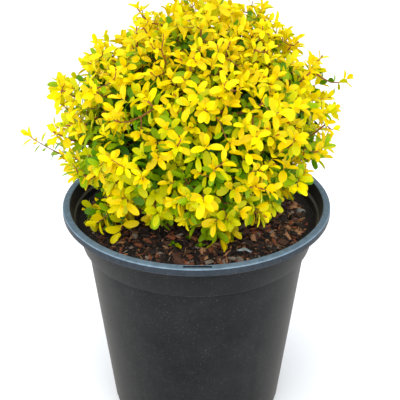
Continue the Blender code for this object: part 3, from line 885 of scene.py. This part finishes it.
def make_chips(compost):
    """Bark chips and crumbs that cover the compost."""
    chance = random.Random(SEED)
    tints = [
        earthy_material("bark_chip_" + name, linear(code), millimetres)
        for name, code, millimetres, _ in CHIP_TINTS]
    weights = [share for *_, share in CHIP_TINTS]
    shortest, longest = CHIP_LENGTHS
    reach = bpy.context.scene.privet_pot.collar_foot_radius - 0.003
    groups = [(*shard_blank(chance), [], []) for _ in range(CHIP_BLANKS)]
    for number in range(compost.chip_count + compost.crumb_count):
        if number < compost.chip_count:
            length = blend(shortest, longest, chance.random() ** 2.0)
        else:
            length = chance.uniform(*CRUMB_LENGTHS)
        width = length * chance.choice(CHIP_WIDTHS) * chance.uniform(0.85, 1.15)
        thickness = min(width, length * chance.uniform(0.14, 0.36))
        radius = (reach - length / 2) * math.sqrt(chance.random())
        place = on_soil(chance.uniform(0.0, 360.0), radius, thickness * chance.uniform(0.0, 0.8))
        matrix = lying(
            place, chance.uniform(0.0, math.tau), chance.gauss(0.0, 0.30), chance.gauss(0.0, 0.45),
            (length, width, thickness))
        _, _, places, kinds = groups[chance.randrange(len(groups))]
        places.append(matrix)
        kinds.append(chance.choices(range(len(tints)), weights)[0])
    piece = new_object("bark_chips", joined_mesh("bark_chips", groups), tints)
    return place_piece(piece, "bark_compost")


def curve_mesh(name, paths, resolution):
    """Mesh of round tapering strands along paths of points and radii."""
    curve = bpy.data.curves.new(name, "CURVE")
    curve.dimensions = "3D"
    curve.bevel_depth = 1.0
    curve.bevel_resolution = resolution
    curve.use_fill_caps = True
    for path in paths:
        spline = curve.splines.new("POLY")
        spline.points.add(len(path) - 1)
        for point, (place, radius) in zip(spline.points, path):
            point.co = (*place, 1.0)
            point.radius = radius
    guide = new_object(name + "_guide", curve)
    mesh = evaluated_mesh(guide, name)
    bpy.data.objects.remove(guide)
    bm = bmesh.new()
    bm.from_mesh(mesh)
    bmesh.ops.remove_doubles(bm, verts=bm.verts, dist=0.000005)
    bmesh.ops.recalc_face_normals(bm, faces=bm.faces)
    bm.to_mesh(mesh)
    bm.free()
    mesh.shade_smooth()
    return mesh


def make_fibres(compost):
    """Dry fibres and stalks, most of them in one tuft by the wall."""
    chance = random.Random(SEED + 1)
    paths = []
    for number in range(compost.fibre_count):
        if number % 2:
            azimuth = FIBRE_PLACE[0] + chance.gauss(0.0, 7.0)
            radius = FIBRE_PLACE[1] + chance.gauss(0.0, 0.006)
        else:
            azimuth = chance.uniform(-180.0, 180.0)
            radius = chance.uniform(0.03, 0.112)
        radius = min(radius, FURTHEST_FIBRE)
        start = on_soil(azimuth, radius, 0.0012)
        heading = direction_of(chance.uniform(0.0, 360.0), 0.0)
        side = heading.cross(UP)
        length = chance.uniform(0.006, 0.018)
        bend = chance.uniform(-0.5, 0.5)
        thickness = chance.uniform(0.00018, 0.00045)
        path = []
        for step in range(6):
            share = step / 5
            point = start + heading * length * share + side * bend * length * share * share
            if point.xy.length > FURTHEST_FIBRE + 0.004:
                break
            point.z = lumpy_height(point) + 0.0012 + 0.0012 * math.sin(math.pi * share)
            path.append((point, thickness * blend(1.0, 0.5, share)))
        if len(path) > 2:
            paths.append(path)
    straw = earthy_material("dry_straw", linear("#B98F5E"), 2.0, depth=0.0001)
    piece = new_object("dry_fibres", curve_mesh("dry_fibres", paths, 1), (straw,))
    return place_piece(piece, "bark_compost")


def make_stones():
    """A worn grey pebble and a pale splinter of bark."""
    chance = random.Random(SEED + 2)
    pebble = earthy_material("grey_pebble", linear("#85827E"), 3.0, roughness=0.7, depth=0.0002)
    # The splinter is pale bleached bark, with a painted blue cast for the sky it reflects
    splinter = earthy_material("bleached_splinter", linear("#A9B4BA"), 2.0)
    bm = bmesh.new()
    bmesh.ops.create_icosphere(bm, subdivisions=3, radius=1.0)
    place = on_soil(*STONE_PLACE, 0.001)
    matrix = lying(place, 0.4, 0.25, 0.0, PEBBLE_SIZE)
    bmesh.ops.transform(bm, matrix=matrix, verts=bm.verts)
    stone = new_object("grey_pebble", mesh_from(bm, "grey_pebble"), (pebble,))
    place_piece(stone, "bark_compost")
    groups = []
    for turn, shift in ((0.35, -0.0025), (-0.5, 0.0030)):
        corners, faces = shard_blank(chance)
        place = on_soil(*PALE_CHIP_PLACE, 0.0022) + Vector((shift, 0.0, 0.0))
        matrix = lying(place, turn, 0.1, 0.2, SPLINTER_SIZE)
        groups.append((corners, faces, [matrix], [0]))
    chip = new_object("bleached_splinter", joined_mesh("bleached_splinter", groups), (splinter,))
    place_piece(chip, "bark_compost")


# Leaves


LEAF_ROWS = (
    (0.00, 0.06), (0.08, 0.12), (0.20, 0.52), (0.36, 0.84), (0.54, 1.00),
    (0.72, 0.96), (0.87, 0.76), (0.96, 0.44), (1.00, 0.14),
)


def leaf_blank(fold, curl, fullness):
    """Leaf of unit length and width: stalk, folded blade and blunt tip, curling back."""
    bm = bmesh.new()
    rows = len(LEAF_ROWS)
    bmesh.ops.create_grid(bm, x_segments=2, y_segments=rows - 1, size=0.5)
    for vertex in bm.verts:
        row = round((vertex.co.y + 0.5) * (rows - 1))
        along, share = LEAF_ROWS[row]
        half_width = share ** fullness / 2
        across = math.copysign(half_width, vertex.co.x) if abs(vertex.co.x) > 0.25 else 0.0
        rise = abs(across) * math.sin(fold) * 0.5 - curl * along * along
        vertex.co = (across * math.cos(fold), along * math.cos(curl * along), rise)
    return blank_of(bm)


def leaf_blanks():
    """One blank for each leaf form."""
    return [leaf_blank(math.radians(fold), curl, fullness) for fold, curl, fullness in LEAF_FORMS]


def leaf_place(base, axis, around, spread, length, width):
    """Place of a leaf that leaves a shoot at an angle and turns its face to the light."""
    side = frame_along(axis, around) @ Vector((1.0, 0.0, 0.0))
    reach = (axis * math.cos(spread) + side * math.sin(spread) - UP * LEAF_DROOP).normalized()
    face = axis * math.sin(spread) - side * math.cos(spread) + UP * LIGHT_SEEKING
    face = (face - reach * face.dot(reach)).normalized()
    across = reach.cross(face)
    turn = Matrix((across, reach, face)).transposed().to_4x4()
    return Matrix.Translation(base) @ turn @ Matrix.Diagonal((width, length, length, 1.0))


def frame_along(direction, roll):
    """Rotation that turns +Z to a direction, with a roll about it."""
    turn = direction.to_track_quat("Z", "X").to_matrix().to_4x4()
    return turn @ Matrix.Rotation(roll, 4, "Z")


# Skeleton of the bush, by the rule of the solids


def trunk_point(height):
    """Point on the stem's axis, a height above its foot."""
    share = height / TRUNK_HEIGHT
    foot = Vector((0.0, 0.0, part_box("trunk")[0].z))
    return foot + Vector((TRUNK_LEAN * share ** 2, 0.0, height))


def trunk_path():
    """Points and radii of the short stem, from its flat foot to its tip."""
    path = []
    for index in range(LIMB_POINTS):
        share = (index / (LIMB_POINTS - 1)) ** 1.5
        height = TRUNK_HEIGHT * share
        flare = math.exp(-height / FLARE_HEIGHT) * (TRUNK_FOOT_RADIUS - TRUNK_RADIUS)
        path.append((trunk_point(height), blend(TRUNK_RADIUS, TRUNK_TIP_RADIUS, share) + flare))
    return path


def bough_path(start, end, hub):
    """Points and radii of a bough that leaves the stem and turns to its mass's hub."""
    bend = end - (hub - end).normalized() * (end - start).length * BOUGH_BEND
    path = []
    for index in range(LIMB_POINTS):
        share = index / (LIMB_POINTS - 1)
        point = start.lerp(bend, share).lerp(bend.lerp(end, share), share)
        path.append((point, blend(BOUGH_BASE_RADIUS, BOUGH_TIP_RADIUS, share)))
    return path


class Mass:
    """One mass of foliage: its site in the crown, its bough and its hub of twigs."""

    def __init__(self, label, site, path, bough_name):
        self.name = "foliage_" + label
        self.site = site
        self.path = path
        self.bough_name = bough_name
        self.targets = []
        tip, _ = path[-1]
        onward = (tip - path[-2][0]).normalized()
        self.hub = tip + onward * (core_place(site) - tip).length


def core_place(site):
    """Middle of a mass, a little inward of its site."""
    return site.lerp(CROWN_CENTRE, CORE_INSET)


def plan_masses():
    """Lay out the masses and the boughs that carry them."""
    leader_start = trunk_point(TRUNK_HEIGHT - LEADER_ROOT)
    leader_end = leader_start + Vector((-TRUNK_LEAN, 0.0, LEADER_HEIGHT))
    leader = []
    for index in range(LIMB_POINTS):
        share = index / (LIMB_POINTS - 1)
        radius = blend(LEADER_BASE_RADIUS, BOUGH_TIP_RADIUS, share)
        leader.append((leader_start.lerp(leader_end, share), radius))
    masses = [Mass("top", TOP_SITE, leader, "bough_leader")]
    for ring in RINGS:
        for number in range(ring.count):
            outward = direction_of(ring.first_azimuth + 360.0 * number / ring.count, 0.0)
            site = outward * ring.radius + UP * ring.height
            start = trunk_point(ring.bough_leaves_stem_at + ring.stagger * (number % 2))
            end = outward * ring.bough_end_radius + UP * ring.bough_end_height
            label = "%s_%d" % (ring.name, number + 1)
            masses.append(Mass(label, site, bough_path(start, end, core_place(site)), "bough_" + label))
    return masses


def crown_reach(direction):
    """Distance from the middle of the crown to its outline."""
    flat = direction.xy.length / CROWN_RADIUS
    tall = direction.z / CROWN_HALF_HEIGHT
    return 1.0 / math.hypot(flat, tall)


def clear_of_pot(point, margin):
    """Whether a point lies above the potting mix and clear of the rim."""
    pot = bpy.context.scene.privet_pot
    radius = point.xy.length
    if radius > pot.collar_foot_radius:
        return point.z > pot.height + margin
    return point.z > soil_height(radius) + SOIL_LUMPS[0][0] + margin


def near_any(point, others, distance):
    """Whether a point is crowded by one of the others."""
    return any((point - other).length < distance for other in others)


def spiral(count, chance, raggedness=SHOOT_RAGGEDNESS):
    """Directions spread evenly all round, each a little off its place."""
    spacing = math.sqrt(4.0 * math.pi / count)
    for index in range(count):
        height = 1.0 - 2.0 * (index + 0.5) / count
        height += chance.uniform(-SHOOT_JITTER, SHOOT_JITTER) * spacing
        angle = index * GOLDEN_ANGLE + chance.uniform(-SHOOT_JITTER, SHOOT_JITTER) * spacing
        ragged = chance.uniform(-raggedness, raggedness)
        if height < LOWEST_SHOOT:
            continue
        height = min(height, 1.0)
        level = math.sqrt(1.0 - height * height)
        yield Vector((level * math.cos(angle), level * math.sin(angle), height)), ragged


def swell(direction):
    """How much further the crown reaches in a direction than its ellipsoid."""
    total = 0.0
    for azimuth, elevation, change, width in SWELLS:
        angle = math.degrees(direction.angle(direction_of(azimuth, elevation)))
        total += change * math.exp(-(angle / width) ** 2)
    return total


def tuft_tips(chance):
    """Where the fine shoots of the low tufts end."""
    for azimuth, radius, height in LOW_TUFTS:
        middle = direction_of(azimuth, 0.0) * radius + UP * height
        for _ in range(TUFT_SHOOTS):
            angle = chance.uniform(0.0, math.tau)
            away = TUFT_WIDTH * math.sqrt(chance.random())
            rise = TUFT_HEIGHT * chance.uniform(-0.6, 1.0)
            yield middle + Vector((away * math.cos(angle), away * math.sin(angle), rise))


def main_shoot_tips(chance):
    """Where the main shoots end: the long and low ones, then spread over the crown."""
    long_ones = []
    for azimuth, elevation, reach in LONG_SHOOTS:
        long_ones.append(CROWN_CENTRE + direction_of(azimuth, elevation) * (reach - SHOOT_OVERHANG))
    tips = list(long_ones)
    for azimuth, radius, height in LOW_TUFTS:
        tips.append(direction_of(azimuth, 0.0) * radius + UP * height)
    for direction, ragged in spiral(MAIN_SHOOTS, chance):
        reach = crown_reach(direction) + swell(direction) + ragged - SHOOT_OVERHANG
        tip = CROWN_CENTRE + direction * reach
        if clear_of_pot(tip, MAIN_CLEARANCE) and not near_any(tip, long_ones, SHOOT_CROWDING):
            tips.append(tip)
    return tips


def hollow(point, leads):
    """How deep the foliage falls back at a point, between the clumps and under them."""
    distances = sorted(((lead - point).length, index) for index, lead in enumerate(leads))
    (nearest, index), (second, _) = distances[:2]
    between = max(0.0, 1.0 - (second - nearest) / CLUMP_GAP)
    below = min(1.0, max(0.0, (leads[index].z - point.z) / CLUMP_HALF_HEIGHT))
    return CLUMP_GAP_DEPTH * between + CLUMP_UNDERCUT * below


class Shoot(NamedTuple):
    """A twig that bears leaves: its path, and the tints its leaves are dealt from."""

    path: list
    tints: tuple


def bent_twig(node, tip, radius):
    """Path of a twig that leaves a node and turns outwards and up to its tip."""
    outward = (tip - CROWN_CENTRE).normalized()
    onward = (tip - node).normalized()
    rise = TWIG_RISE + TWIG_RISE_ON_TOP * outward.z
    finish = (outward * TWIG_OUTWARD + onward * TWIG_ONWARD + UP * rise).normalized()
    bend = tip - finish * (tip - node).length * TWIG_BEND
    path = []
    for step in range(TWIG_STEPS + 1):
        share = step / TWIG_STEPS
        point = node.lerp(bend, share).lerp(bend.lerp(tip, share), share)
        path.append((point, radius * blend(1.0, TWIG_TAPER, share)))
    return path


def nearest_node(nodes, tip, hub):
    """Growth point that a tip joins: near, and not behind the tip's own direction."""
    best = None
    for node, radius in nodes:
        turn = (tip - node).angle(tip - hub, 0.0)
        cost = (tip - node).length * (1.0 + turn)
        if best is None or cost < best[0]:
            best = (cost, node, radius)
    return best[1], best[2]


def grow_shoots(settings):
    """Grow the whole bush: for each mass its main twigs, then finer ones from those."""
    masses = plan_masses()
    chance = random.Random(SEED)
    grown = {mass.name: [] for mass in masses}
    nodes = {mass.name: [(mass.hub, TWIG_BASE_RADIUS)] for mass in masses}

    def grow(tip, tints, base_limit):
        mass = min(masses, key=lambda item: (item.site - tip).length)
        node, radius = nearest_node(nodes[mass.name], tip, mass.hub)
        path = bent_twig(node, tip, min(radius, base_limit))
        if not all(clear_of_pot(point, TWIG_CLEARANCE) for point, _ in path):
            return
        grown[mass.name].append(Shoot(path, tints))
        for share in BRANCHING_SHARES:
            point, point_radius = path[round(share * (len(path) - 1))]
            nodes[mass.name].append((point, point_radius))

    for mass in masses:
        tip, radius = mass.path[-1]
        stem = [
            (tip.lerp(mass.hub, share), blend(radius, TWIG_BASE_RADIUS, share))
            for share in (0.0, 1 / 3, 2 / 3, 1.0)]
        grown[mass.name].append(Shoot(stem, ()))
    leads = main_shoot_tips(chance)
    for tip in sorted(leads, key=lambda point: (point - CROWN_CENTRE).length):
        grow(tip, outer_tints(tip, chance), TWIG_BASE_RADIUS)
    for shell in reversed(SHELLS):
        fine = random.Random(SEED + int(shell.reach * 100))
        count = round(settings.shoot_count * shell.count_share)
        for direction, ragged in spiral(count, fine, shell.raggedness):
            lump = 1.0 + LUMP_HEIGHT * noise.noise(direction * LUMPS_ROUND_CROWN)
            reach = (crown_reach(direction) * lump + swell(direction)) * shell.reach
            reach += ragged - shell.overhang
            tip = CROWN_CENTRE + direction * reach
            lit = shell.reach > LIT_SHELL_REACH
            if lit:
                tip -= direction * hollow(tip, leads)
            if clear_of_pot(tip, FINE_CLEARANCE):
                tints = shell.tints or outer_tints(tip, fine)
                if lit and direction.z > LIT_TOP:
                    tints = outer_tints(tip, fine)
                grow(tip, tints, FINE_TWIG_RADIUS)
    for tip in tuft_tips(random.Random(SEED + 7)):
        if clear_of_pot(tip, TUFT_CLEARANCE):
            grow(tip, chance.choice(((1, 2), (2, 3), (3, 4))), FINE_TWIG_RADIUS)
    return masses, grown


def outer_tints(tip, chance):
    """Tints of a spray in the light: lemon on top, more lime low down."""
    height = (tip.z - CROWN_CENTRE.z) / CROWN_HALF_HEIGHT
    if height < LOW_CROWN:
        return chance.choice(((2, 3), (3,), (4,), (1, 2), (1,)))
    if height < MIDDLE_CROWN:
        return chance.choice(((1,), (2,), (2, 3), (1, 2), (3,)))
    return chance.choice(((1,), (1,), (1, 2), (2,)))


def path_point(path, back):
    """Point and direction on a path, a distance back from its tip."""
    for (start, _), (end, _) in zip(path[-2::-1], path[:0:-1]):
        length = (end - start).length
        if back <= length:
            return end.lerp(start, back / length), (end - start).normalized()
        back -= length
    return None


def leaf_on_shoot(shoot, settings, chance, taken):
    """Opposite pairs of leaves along a shoot, each pair crossing the last."""
    leaves = []
    if not shoot.tints:
        return leaves
    tint = chance.choice(shoot.tints)
    height = (shoot.path[-1][0].z - CROWN_CENTRE.z) / CROWN_HALF_HEIGHT
    vigour = chance.uniform(*LEAF_SIZE_RANGE)
    vigour *= blend(LEAF_SIZE_AT_FOOT, LEAF_SIZE_AT_TOP, (height + 1.0) / 2)
    roll = chance.uniform(0.0, math.pi)
    copper_tip = tint <= 1 and chance.random() < COPPER_SHARE
    for pair, (back, spread, size) in enumerate(LEAF_PAIRS):
        found = path_point(shoot.path, back)
        if found is None:
            break
        base, axis = found
        for side in (0, 1):
            length = settings.leaf_length * size * vigour * chance.uniform(0.88, 1.08)
            width = settings.leaf_width * size * vigour * chance.uniform(0.9, 1.1)
            around = roll + pair * math.pi / 2 + side * math.pi + chance.gauss(0.0, 0.15)
            angle = math.radians(spread) + chance.gauss(0.0, 0.14)
            place = leaf_place(base, axis, around, angle, length, width)
            middle = place @ Vector((0.0, 0.55, 0.0))
            end = place @ Vector((0.0, 1.0, 0.0))
            if not (clear_of_pot(middle, LEAF_CLEARANCE) and clear_of_pot(end, LEAF_CLEARANCE)):
                continue
            key = tuple(int(value // LEAF_SPACE) for value in middle)
            if key in taken and pair:
                continue
            taken.add(key)
            age = PAIR_AGES[pair] + (chance.random() < AGED_SHARE)
            shade = min(len(TINTS) - 1, tint + age)
            if copper_tip and pair == 0:
                shade = TINTS.index("copper")
            if pair < 2:
                blank = YOUNG_LEAF
            elif shade >= TINTS.index("green"):
                blank = ROUND_LEAF
            else:
                blank = FLAT_LEAF if chance.random() < FLAT_SHARE else GROWN_LEAF
            leaves.append((blank, place, shade))
    return leaves


def tint_materials(settings):
    """Materials of the leaves, in the order of the tints, made once for all pieces."""
    glow = {"green": 0.18, "deep_green": 0.12, "copper": 0.15}
    found = []
    for tint in TINTS:
        name = "privet_leaf_" + tint
        made = bpy.data.materials.get(name)
        found.append(made or leaf_material(name, getattr(settings, tint), glow.get(tint, 0.30)))
    return found


def leaf_slot(name):
    """Material slot of the record for a mass."""
    return {"top": "leaf_lemon", "upper": "leaf_golden", "lower": "leaf_lime"}[name.split("_")[1]]


def make_foliage(settings):
    """Twigs and leaves of every mass, each kind joined apart."""
    masses, grown = grow_shoots(settings)
    chance = random.Random(SEED + 5)
    blanks = leaf_blanks()
    tints = tint_materials(settings)
    young_bark = bark_material("young_privet_bark", settings.young_bark)
    total = 0
    for mass in masses:
        shoots = grown[mass.name]
        twigs = curve_mesh(mass.name + "_twigs", [shoot.path for shoot in shoots], 0)
        place_piece(new_object(mass.name + "_twigs", twigs, (young_bark,)), "privet_bark")
        groups = [(*blank, [], []) for blank in blanks]
        taken = set()
        for shoot in shoots:
            for blank, place, shade in leaf_on_shoot(shoot, settings, chance, taken):
                groups[blank][2].append(place)
                groups[blank][3].append(shade)
                total += 1
        leaves = new_object(mass.name + "_leaves", joined_mesh(mass.name, groups, smooth=True), tints)
        place_piece(leaves, leaf_slot(mass.name), mass.name)
    return total


def make_ground_plants(settings):
    """Seedlings in the compost, and one fallen leaf."""
    chance = random.Random(SEED + 6)
    blank = leaf_blanks()[ROUND_LEAF]
    places = []
    shades = []
    for azimuth, radius in SEEDLING_PLACES:
        centre = on_soil(azimuth, radius, 0.0015)
        turn = chance.uniform(0.0, math.tau)
        for leaf in range(4):
            place = leaf_place(
                centre, UP, turn + leaf * math.pi / 2, math.radians(62.0),
                chance.uniform(0.0045, 0.0065), 0.0036)
            places.append(place)
            shades.append(4 + leaf % 2)
    fallen = on_soil(*FALLEN_LEAF_PLACE, 0.0030)
    places.append(lying(fallen, 0.5, 0.15, 0.1, FALLEN_LEAF_SIZE))
    shades.append(3)
    mesh = joined_mesh("seedlings", [(*blank, places, shades)], smooth=True)
    return place_piece(new_object("seedlings", mesh, tint_materials(settings)), "leaf_lime")


# Bark


def roughened(mesh, depth, length, ring):
    """Push a limb's surface in and out: ridges that run along it, and small pores."""
    bm = bmesh.new()
    bm.from_mesh(mesh)
    bm.normal_update()
    moves = []
    for vertex in bm.verts:
        place = Vector((vertex.co.x / ring, vertex.co.y / ring, vertex.co.z / length))
        ridge = noise.noise(place) + 0.5 * noise.noise(place * 2.3)
        moves.append((vertex, vertex.normal * depth * ridge))
    for vertex, move in moves:
        vertex.co += move
    bm.to_mesh(mesh)
    bm.free()
    mesh.shade_smooth()


def make_limbs(settings):
    """The short stem and the boughs, with the relief of their bark."""
    bark = bark_material("privet_bark", settings.bark)
    trunk = curve_mesh("trunk_bark", [trunk_path()], 10)
    roughened(trunk, depth=0.0006, length=0.012, ring=0.003)
    place_piece(new_object("trunk_bark", trunk, (bark,)), "privet_bark", "trunk")
    for mass in plan_masses():
        name = mass.bough_name + "_bark"
        bough = curve_mesh(name, [mass.path], 4)
        roughened(bough, depth=0.0002, length=0.008, ring=0.002)
        place_piece(new_object(name, bough, (bark,)), "privet_bark", mass.bough_name)


# Stage


def make_stage(stage):
    """Pale floor, soft light and the camera."""
    scene = bpy.context.scene
    bm = bmesh.new()
    bmesh.ops.create_grid(bm, x_segments=1, y_segments=1, size=stage.floor_size / 2)
    material, tree, output = new_material("pale_matte_floor")
    shader = add_node(
        tree, "ShaderNodeBsdfPrincipled", {"Base Color": (*stage.floor, 1.0), "Roughness": 0.9})
    tree.links.new(shader.outputs["BSDF"], output.inputs["Surface"])
    floor = new_object("pale_floor", mesh_from(bm, "pale_floor", smooth=False), (material,))
    floor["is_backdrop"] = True

    world = bpy.data.worlds.new("soft_sky")
    world.use_nodes = True
    background = world.node_tree.nodes["Background"]
    background.inputs["Color"].default_value = (*stage.sky, 1.0)
    background.inputs["Strength"].default_value = stage.sky_strength
    scene.world = world

    light = bpy.data.lights.new("overhead_softbox", "SUN")
    light.energy = stage.key_strength
    light.angle = stage.key_spread
    lamp = bpy.data.objects.new("overhead_softbox", light)
    scene.collection.objects.link(lamp)
    lamp.rotation_euler = Vector(KEY_FROM).to_track_quat("Z", "Y").to_euler()

    lens = bpy.data.cameras.new("camera")
    lens.lens = stage.lens
    lens.sensor_width = SENSOR_WIDTH
    lens.shift_x = LENS_SHIFT
    camera = bpy.data.objects.new("camera", lens)
    scene.collection.objects.link(camera)
    camera.location = (0.0, -stage.camera_distance, stage.camera_height)
    camera.rotation_euler = (math.pi / 2 - stage.camera_pitch, 0.0, 0.0)
    scene.camera = camera
    scene.view_settings.view_transform = "Standard"


class PRIVET_OT_pot(bpy.types.Operator):
    """Model the moulded nursery pot"""

    bl_idname = "privet.pot"
    bl_label = "Pot"

    def execute(self, context):
        make_pot(context.scene.privet_pot)
        return {"FINISHED"}


class PRIVET_OT_compost(bpy.types.Operator):
    """Fill the pot with compost, chips, fibres and stones"""

    bl_idname = "privet.compost"
    bl_label = "Compost"

    def execute(self, context):
        compost = context.scene.privet_compost
        make_soil_bed(context.scene.privet_pot, compost)
        make_chips(compost)
        make_fibres(compost)
        make_stones()
        return {"FINISHED"}


class PRIVET_OT_limbs(bpy.types.Operator):
    """Model the short stem and the boughs"""

    bl_idname = "privet.limbs"
    bl_label = "Stem and boughs"

    def execute(self, context):
        make_limbs(context.scene.privet_bush)
        return {"FINISHED"}


class PRIVET_OT_foliage(bpy.types.Operator):
    """Grow the twigs and leaves of every mass"""

    bl_idname = "privet.foliage"
    bl_label = "Twigs and leaves"

    def execute(self, context):
        count = make_foliage(context.scene.privet_bush)
        if not count:
            raise RuntimeError("no leaf found room")
        print("leaves:", count)
        return {"FINISHED"}


class PRIVET_OT_ground_plants(bpy.types.Operator):
    """Add the seedlings and the fallen leaf"""

    bl_idname = "privet.ground_plants"
    bl_label = "Seedlings"

    def execute(self, context):
        make_ground_plants(context.scene.privet_bush)
        return {"FINISHED"}


class PRIVET_OT_stage(bpy.types.Operator):
    """Set the floor, the lights and the camera"""

    bl_idname = "privet.stage"
    bl_label = "Stage"

    def execute(self, context):
        make_stage(context.scene.privet_stage)
        return {"FINISHED"}


OPERATORS = (
    PRIVET_OT_pot,
    PRIVET_OT_compost,
    PRIVET_OT_limbs,
    PRIVET_OT_foliage,
    PRIVET_OT_ground_plants,
    PRIVET_OT_stage,
)
SETTINGS = {
    "privet_pot": PotSettings,
    "privet_compost": CompostSettings,
    "privet_bush": BushSettings,
    "privet_stage": StageSettings,
}


class PRIVET_PT_panel(bpy.types.Panel):
    """Sidebar panel with the settings and the steps"""

    bl_idname = "PRIVET_PT_panel"
    bl_label = "Potted Privet"
    bl_space_type = "VIEW_3D"
    bl_region_type = "UI"
    bl_category = "Privet"

    def draw(self, context):
        layout = self.layout
        for name, group in SETTINGS.items():
            box = layout.box()
            for setting in group.__annotations__:
                box.prop(getattr(context.scene, name), setting)
        for operator in OPERATORS:
            layout.operator(operator.bl_idname)


def register():
    """Register the settings, the operators and the panel."""
    for name, group in SETTINGS.items():
        bpy.utils.register_class(group)
        setattr(bpy.types.Scene, name, PointerProperty(type=group))
    for item in OPERATORS + (PRIVET_PT_panel,):
        bpy.utils.register_class(item)


def unregister():
    """Remove what register added."""
    for item in reversed(OPERATORS + (PRIVET_PT_panel,)):
        bpy.utils.unregister_class(item)
    for name, group in SETTINGS.items():
        delattr(bpy.types.Scene, name)
        bpy.utils.unregister_class(group)


def main():
    """Build every piece in order, then work out the bounding boxes."""
    register()
    bpy.ops.privet.pot()
    bpy.ops.privet.compost()
    bpy.ops.privet.limbs()
    bpy.ops.privet.foliage()
    bpy.ops.privet.ground_plants()
    bpy.ops.privet.stage()
    boxes = {"cad": CAD_BOX, "visual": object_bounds()}
    {name: [list(corner) for corner in box] for name, box in boxes.items()}


if __name__ == "__main__":
    main()
